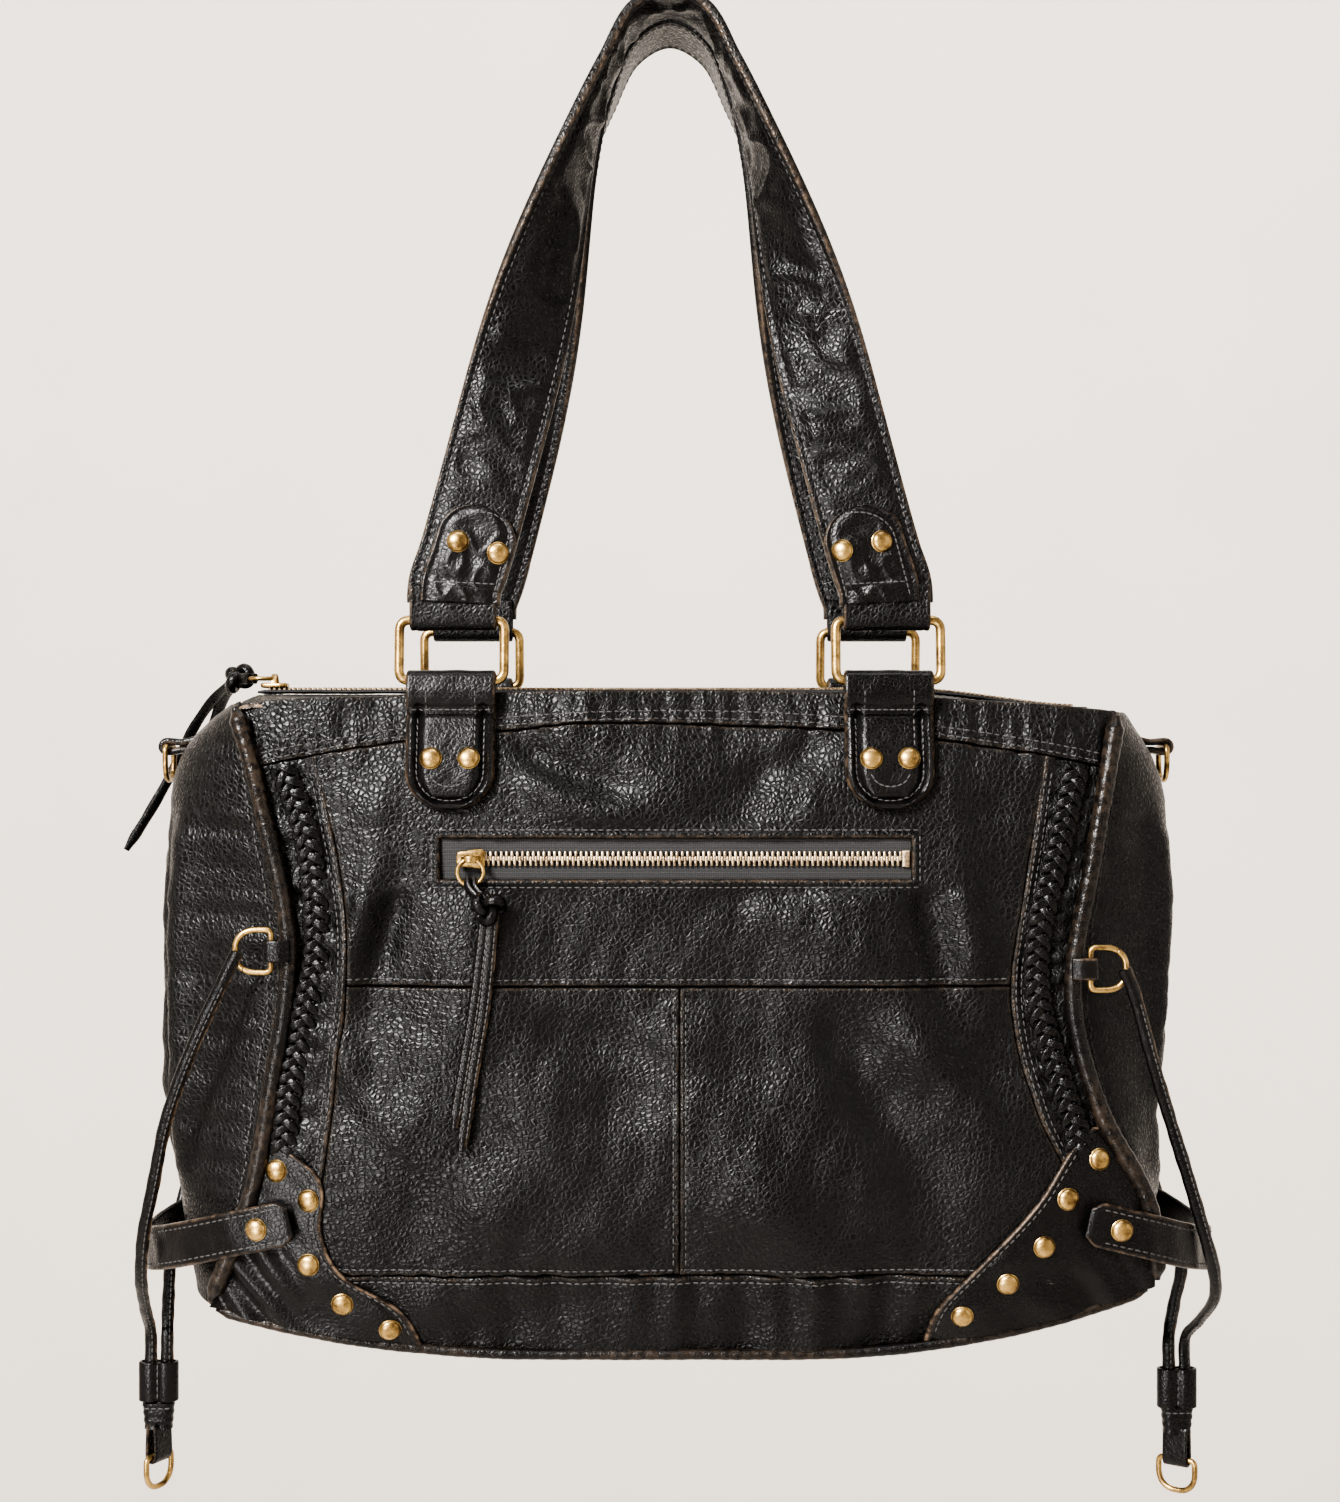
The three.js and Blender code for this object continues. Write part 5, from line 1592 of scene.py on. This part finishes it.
def ring_tab(side, name, mirror, face_name):
    """A padded tab with a round lower end, folded round the ring's bar at its top."""
    node = f"{face_name}_{name}_ring_tab"
    loop = RING_WIRE + 2.0
    line = [(clear_y(side, z) - TAB_THICK / 2, z) for z in (TAB_LOW_Z, -340, -330, -320, -311)]
    line.append((RING_BAR_Y - loop - 0.9, -304))
    line += round_bar(RING_BAR_Y, RING_BAR_Z, range(180, -1, -30))
    line.append((RING_BAR_Y + loop - 0.4, -301.5))
    path = catmull([(side * RING_X, y, z) for y, z in line], 110)
    low = (path[:, 2] < TAB_ROUND_Z) & (np.arange(len(path)) < 60)
    drop = np.clip((TAB_ROUND_Z - path[:, 2]) / (TAB_ROUND_Z - TAB_LOW_Z), 0, 1)
    half = TAB_WIDTH / 2 * np.where(low, np.sqrt(np.maximum(1 - drop**2, 0.012)), 1.0)
    run = lengths(path)
    thin = ease(run, 42, 50)
    padding = 1 - thin

    def relief(off, along, edge):
        pad = np.interp(along, run, padding)
        rim = np.minimum(np.interp(along, run, half) - np.abs(off), along * 1.3)
        swell = 1.5 * hill(rim, 2.4, 1.8) - 1.5 * hill(rim, 5.2, 1.1) + 1.2 * ease(rim, 6, 9)
        cross = groove(np.abs(along - 41), 0, 0.6, 0.9) + groove(np.abs(along - 46), 0, 0.6, 0.9)
        return swell * pad - cross + 0.15 * ripple(off, along, 12, 121) - 0.9 * np.interp(along, run, thin)

    facing = vec(0, -1, 0) * mirror
    tab, _ = band(
        f"{face_name}_{name}_tab", "bag_body", path * mirror, (1, 0, 0), TAB_WIDTH, TAB_THICK, TRIM,
        "trim_leather", count=40, relief=relief, shape=lambda along, total: half, stands_for=[node],
        facing=facing,
    )
    surface = tree_of(tab)
    centre = vec(side * RING_X, 0, 0)
    y = clear_y(side, -330) - TAB_THICK
    angle = np.linspace(math.pi, 2 * math.pi, 40)
    radius = 14.2
    bottom = [(radius * math.cos(a), y, TAB_ROUND_Z + radius * 0.86 * math.sin(a)) for a in angle]
    rows = [(-radius, y, -313)] + bottom + [(radius, y, -313)]
    sew("bag_body", surface, (respace(np.array(rows), 70) + centre) * mirror, facing, pitch=2.7)
    for x in (-10.4, 10.4):
        upright = respace(np.array([(x, y, -301.0), (x, y, -325.0)]), 16)
        sew("bag_body", surface, (upright + centre) * mirror, facing, pitch=2.7)
    smile = [(7.8 * math.cos(a), y, -336.5 + 5.5 * math.sin(a)) for a in angle]
    sew("bag_body", surface, (np.array(smile) + centre) * mirror, facing, pitch=2.6)
    row = np.array([(-17, y, -309.5), (17, y, -309.5)])
    sew("bag_body", surface, (respace(row, 12) + centre) * mirror, facing, pitch=2.7)
    studs = Bundle()
    for x in (-8, 8):
        stud(studs, surface, (vec(x, y, -330) + centre) * mirror, facing)
    studs.make(f"{face_name}_{name}_tab_studs", "bag_body", BRASS, "antique_brass", stands_for=[node])


for side, name in ((LEFT, "left"), (RIGHT, "right")):
    ring_tab(side, name, vec(1, 1, 1), "front")
    ring_tab(side, name, REAR, "rear")

# ---------------------------------------------------------------- shoulder straps
STRAP_WIDTH, STRAP_THICK = 40.0, 4.5
STRAP_HALF = [
    (-92.3, RING_TOP_Y, -264.5), (-91.8, -49, -257), (-87.5, -48.5, -244), (-75, -45, -197),
    (-56.5, -38.5, -125), (-39, -31, -62), (-28, -25.5, -30), (-16.5, -22.3, -6.5),
    (0, -22, STRAP_THICK / 2 + 0.05),
]


def strap_frame():
    """The strap's middle line, and where its width points: across at the top, sideways at the ends."""
    half = STRAP_HALF + [(-x, y, z) for x, y, z in STRAP_HALF[-2::-1]]
    path = catmull(half, 420)
    run = unit(np.gradient(path, axis=0))
    quarter = ease(-path[:, 2], 10, 215) * math.pi / 2
    flat = unit(vec(0, -1, 0) + run * run[:, 1:2])
    across = np.cross(run, flat)
    wide = flat * np.cos(quarter)[:, None] - across * np.sin(quarter)[:, None]
    return path, wide


def shoulder_strap(body, mirror, seed):
    path, wide = strap_frame()
    path, wide = path * mirror, wide * mirror
    total = lengths(path)[-1]

    def relief(off, run, edge):
        inside = ease(edge, 4, 9) * ease(np.minimum(run, total - run), 42, 60)
        soft = 0.95 * ripple(off, run, 24, seed) + 1.8 * crease(off * 0.6, run, 28, seed + 1)
        soft = soft + 0.4 * ripple(off * 0.5, run, 8, seed + 2)
        return soft * inside + 0.8 * ease(edge, 3.4, 9) - groove(edge, 3.2, 0.5, 0.8)

    strap, out = band(
        f"{body}_length", body, path, wide, STRAP_WIDTH, STRAP_THICK, STRAP, "body_leather", count=22,
        relief=relief, stands_for=[body],
    )
    surface = tree_of(strap)
    for shift in (-16.6, 16.6):
        for facing in (out, -out):
            sew(body, surface, (path + wide * shift)[10:-10], facing[10:-10], pitch=3.6)
    for end, name in ((0, "left"), (-1, "right")):
        strap_end(body, name, path, wide, out, mirror, end)


PATCH_LENGTH = 44.0  # of the round-topped patch at each strap end
PATCH_ROUND = 14.5  # length of its round part


def strap_end(body, name, path, wide, out, mirror, end):
    """The stitched patch with its two studs, and the fold round the ring."""
    side = LEFT if name == "left" else RIGHT
    order = slice(None) if end == 0 else slice(None, None, -1)
    path, wide, out = path[order], wide[order], out[order]
    facing = vec(0, -1, 0) * mirror
    outward = out if np.dot(out[6], facing) > 0 else -out
    run = lengths(path)
    count = int(np.searchsorted(run, PATCH_LENGTH))
    shifted = path[:count] + vec(-3.0 * side, 0, 0)
    patch_line = respace(shifted + outward[:count] * (STRAP_THICK / 2 + 1.9), 60)
    along = lengths(patch_line)
    left_over = along[-1] - along
    in_round = np.clip((PATCH_ROUND - left_over) / PATCH_ROUND, 0, 1)
    half = 17.0 * np.sqrt(np.clip(1 - in_round**2, 0.012, 1))

    def relief(off, at, edge):
        rim = np.minimum(np.interp(at, along, half) - np.abs(off), at + 9)
        cross = groove(np.abs(at - 9), 0, 0.5, 0.9)
        soft = 0.5 * ripple(off, at, 13, 131) + 0.7 * crease(off, at, 16, 132)
        return 0.5 * ease(rim, 3.4, 8) - groove(rim, 2.8, 0.5, 0.8) - cross + soft * ease(rim, 3, 7)

    patch, _ = band(
        f"{body}_{name}_patch", body, patch_line, wide[0], 34, 2.4, TRIM, "trim_leather", count=30,
        relief=relief, shape=lambda along, total: half, facing=facing, stands_for=[body],
    )
    surface = tree_of(patch)
    wide0 = unit(wide[3])
    angle = np.linspace(0, math.pi, 40)
    last = patch_line[-1] + (patch_line[0] - patch_line[-1]) * (PATCH_ROUND / along[-1])
    up = unit(patch_line[-1] - patch_line[0])
    arc = [last + wide0 * 13.4 * math.cos(a) + up * 11.6 * math.sin(a) for a in angle]
    foot = patch_line[0] + up * 3
    rows = [foot + wide0 * 13.4, *arc, foot - wide0 * 13.4]
    sew(body, surface, respace(np.array(rows), 70), facing, pitch=2.8)
    row = np.array([foot + wide0 * 13 + up * 6, foot - wide0 * 13 + up * 6])
    sew(body, surface, respace(row, 12), facing, pitch=2.8)
    studs = Bundle()
    spots = ((-90, -238), (-73, -243)) if side == LEFT else ((73, -242), (90, -238))
    for x, z in spots:
        stud(studs, surface, vec(x, -51.0, z) * mirror, facing)
    studs.make(f"{body}_{name}_studs", body, BRASS, "antique_brass", stands_for=[body])
    line = [(RING_TOP_Y - 3.2, RING_TOP_Z + 15), (RING_TOP_Y - 3.7, RING_TOP_Z + 7)]
    line += round_bar(RING_TOP_Y, RING_TOP_Z, range(180, 361, 30))
    line += [(RING_TOP_Y + 3.7, RING_TOP_Z + 7), (RING_TOP_Y + 3.2, RING_TOP_Z + 15)]
    x0 = side * (RING_X - 0.7)
    fold_line = catmull([(x0, y, z) for y, z in line], 60) * mirror
    band(
        f"{body}_{name}_fold", body, fold_line, (1, 0, 0), 37, 1.9, STRAP, "body_leather", count=16,
        relief=lambda off, at, edge: 0.25 * ripple(off, at, 12, 133) - groove(edge, 2.4, 0.3, 0.5),
        stands_for=[body],
    )


shoulder_strap("front_strap", vec(1, 1, 1), 141)
shoulder_strap("rear_strap", REAR, 151)

# ---------------------------------------------------------------- leather loops of the D-rings
LOOP_REACH = DRING_WIRE + 1.2


def half_turn(side, x0, y0, start):
    """Half a turn of a loop round a D-ring's bar, from one angle to its opposite."""
    return [
        (x0 + side * LOOP_REACH * math.cos(a), y0 + LOOP_REACH * math.sin(a))
        for a in np.linspace(start, -start, 7)
    ]


for name, (side, x0, z0) in SIDE_RINGS.items():
    for face_name, mirror in (("front", vec(1, 1, 1)), ("rear", REAR)):
        arc = half_turn(side, x0, SIDE_RING_Y, -1.57)
        flat = [(x0 - side * 8, SIDE_RING_Y - 1.0), (x0 - side * 4, SIDE_RING_Y - 2.6), *arc]
        flat += [(x0 - side * 5, SIDE_RING_Y + 2.2), (x0 - side * 9, SIDE_RING_Y + 1.4)]
        line = catmull([(x, y, z0) for x, y in flat], 60) * mirror
        node = f"{face_name}_{name}_dring_tab"
        band(
            f"{face_name}_{name}_dring_loop", "bag_body", line, (0, 0, 1), 9.4, 1.6, TRIM, "trim_leather",
            count=6, stands_for=[node],
        )
for name, (side, x0, y0, z0) in UPPER_RINGS.items():
    arc = half_turn(side, x0, z0, 1.57)
    flat = [(x0 - side * 16, z0 + 4.5), (x0 - side * 7, z0 + 2.0), *arc]
    flat += [(x0 - side * 7, z0 - 1.4), (x0 - side * 13, z0 - 2.2)]
    line = catmull([(x, y0, z) for x, z in flat], 60)
    band(
        f"{name}_upper_loop", "bag_body", line, (0, 1, 0), 13, 3.0, TRIM, "trim_leather", count=6,
        stands_for=[f"{name}_gusset"],
    )


# ---------------------------------------------------------------- linings
def sack():
    """The cloth lining, an open-topped sack that hangs inside the walls."""
    turns, rows = 160, 48
    t = np.linspace(0, 4, turns, endpoint=False)
    which, q = np.floor(t).astype(int), t - np.floor(t)
    s = np.select([which == 0, which == 1, which == 2], [2 * q - 1, 1 + 0 * q, 1 - 2 * q], -1 + 0 * q)
    v = np.linspace(0, 1, rows)[:, None]
    z = lerp(top_z(s) - 5, wall_end_z(s) + 6, v)
    inset = 9.0
    x_front = lerp(front_left_x(z) + inset, front_right_x(z) - inset, (s + 1) / 2)
    y_front = half_depth(z) - inset + crown(z) * (1 - s**4)
    side = np.where(which == 1, RIGHT, LEFT)
    edge = np.where(side < 0, front_left_x(z), front_right_x(z))
    bulge = np.where(side < 0, left_bulge_x(z), right_bulge_x(z)) - edge
    along = np.where(which == 1, q, 1 - q)
    x_side = edge - side * inset + bulge * (1 - np.abs(2 * along - 1) ** 2.4)
    y_side = lerp(inset - half_depth(z), half_depth(z) - inset, along)
    on_face = (which == 0) | (which == 2)
    x = np.where(on_face, x_front, x_side)
    y = np.where(on_face, np.where(which == 0, -y_front, y_front), y_side)
    hang = 0.9 * ripple(t[None] * 90, z * 0.35, 40, 161) * ease(v, 0.02, 0.2)
    centre = np.stack([x * 0 + 2, y * 0, z], axis=-1)
    points = np.stack([x, y, z], axis=-1)
    points = points + unit(centre - points) * (hang + 0.9)[..., None]
    floor = [points[-1]]
    for k in (0.93, 0.6, 0.2):
        ring = points[-1] * vec(k, k, 1)
        floor.append(np.stack([ring[:, 0], ring[:, 1], lerp(BASE_Z + 9.5, points[-1][:, 2], k**3)], axis=1))
    outer = np.concatenate([points, np.array(floor[1:])])
    inward = unit(centre[0] * vec(1, 1, 0) - outer * vec(1, 1, 0)) * 0.8
    inner = outer + inward + vec(0, 0, 0.8) * np.linspace(0, 1, len(outer))[:, None, None]
    both = np.concatenate([outer, inner[::-1]])
    total = len(both) * turns
    faces = []
    for a in range(0, total, turns):
        b = (a + turns) % total
        for j in range(turns):
            k = (j + 1) % turns
            faces.append((a + j, b + j, b + k, a + k))
    verts = both.reshape(-1, 3)
    if volume(verts, faces) < 0:
        faces = flipped(faces)
    make_mesh("lining_sack", "bag_body", verts, faces, CLOTH, "lining_cloth", stands_for=["lining"])


sack()
u, v = np.meshgrid(np.linspace(-115, 120, 60), np.linspace(ZIP_Z - 20, -500, 36), indexing="ij")
y = -(half_depth(v) - 6.4 + crown(v) * (1 - share_at(u, v) ** 4))
cloth_front = np.stack([u, y + 0.5 * ripple(u, v, 40, 171) + 0.3, v], axis=-1)
shell(
    "pocket_cloth", "bag_body", cloth_front, cloth_front + vec(0, 0.8, 0), CLOTH, "lining_cloth",
    stands_for=["front_pocket_lining"],
)


# ---------------------------------------------------------------- stage
FLOOR_Z, WALL_RADIUS, WALL_TOP, WALL_SIDES = -1.75, 3.2, 5.0, 96  # metres


def stage_mesh(name, verts, faces, material):
    mesh = bpy.data.meshes.new(name)
    mesh.from_pydata(verts, [], faces)
    mesh.shade_smooth()
    mesh.materials.append(material)
    obj = bpy.data.objects.new(name, mesh)
    bpy.context.scene.collection.objects.link(obj)


def pale():
    """Matt, warm white paint."""
    f = Finish("stage_paint")
    color = f.mix(f.noise(3.0, 3.0), (0.66, 0.62, 0.575), (0.72, 0.68, 0.635))
    return f.finish(color, f.remap(f.noise(9.0), 0.0, 1.0, 0.85, 0.95))


STAGE = pale()
around = np.linspace(0, 2 * math.pi, WALL_SIDES + 1)[:-1]
ring = [(WALL_RADIUS * math.cos(a), WALL_RADIUS * math.sin(a)) for a in around]
stage_mesh("floor", [(x * 1.1, y * 1.1, FLOOR_Z) for x, y in ring], [tuple(range(len(ring)))], STAGE)
wall_rows = [(x, y, z) for z in (FLOOR_Z - 0.1, WALL_TOP) for x, y in ring]
wall_faces = [
    (i, (i + 1) % WALL_SIDES, WALL_SIDES + (i + 1) % WALL_SIDES, WALL_SIDES + i) for i in range(WALL_SIDES)
]
stage_mesh("backdrop", wall_rows, wall_faces, STAGE)


def area_light(name, at, aim, size, power, color):
    data = bpy.data.lights.new(name, "AREA")
    data.shape = "RECTANGLE"
    data.size, data.size_y = size
    data.energy = power
    data.color = color
    light = bpy.data.objects.new(name, data)
    light.location = at
    light.rotation_euler = (Vector(aim) - Vector(at)).to_track_quat("-Z", "Y").to_euler()
    bpy.context.scene.collection.objects.link(light)


CENTRE = (0, 0, -0.38)
area_light("key", (-1.1, -1.6, 0.75), CENTRE, (0.65, 0.65), 290, (1.0, 0.98, 0.965))
area_light("fill", (1.9, -1.2, 0.2), CENTRE, (0.8, 1.6), 9, (0.95, 0.97, 1.0))
area_light("low", (-0.8, -1.5, -0.75), (0, 0, -0.55), (0.5, 0.5), 34, (1.0, 0.98, 0.965))
area_light("top", (0.1, -0.5, 1.5), CENTRE, (1.2, 0.4), 26, (1.0, 0.98, 0.96))
area_light("wall", (0, 1.0, 2.2), (0, 3.2, -0.5), (2.4, 0.8), 84, (1.0, 0.975, 0.94))
world = bpy.data.worlds.new("world")
world.use_nodes = True
world.node_tree.nodes["Background"].inputs["Color"].default_value = (0.93, 0.91, 0.88, 1)
world.node_tree.nodes["Background"].inputs["Strength"].default_value = 0.22
bpy.context.scene.world = world
bpy.context.scene.view_settings.look = "AgX - Medium High Contrast"

# ---------------------------------------------------------------- finish
for body, bundle in stitching.items():
    bundle.make(f"{body}_stitching", body, THREAD, "trim_leather", sharp=60)
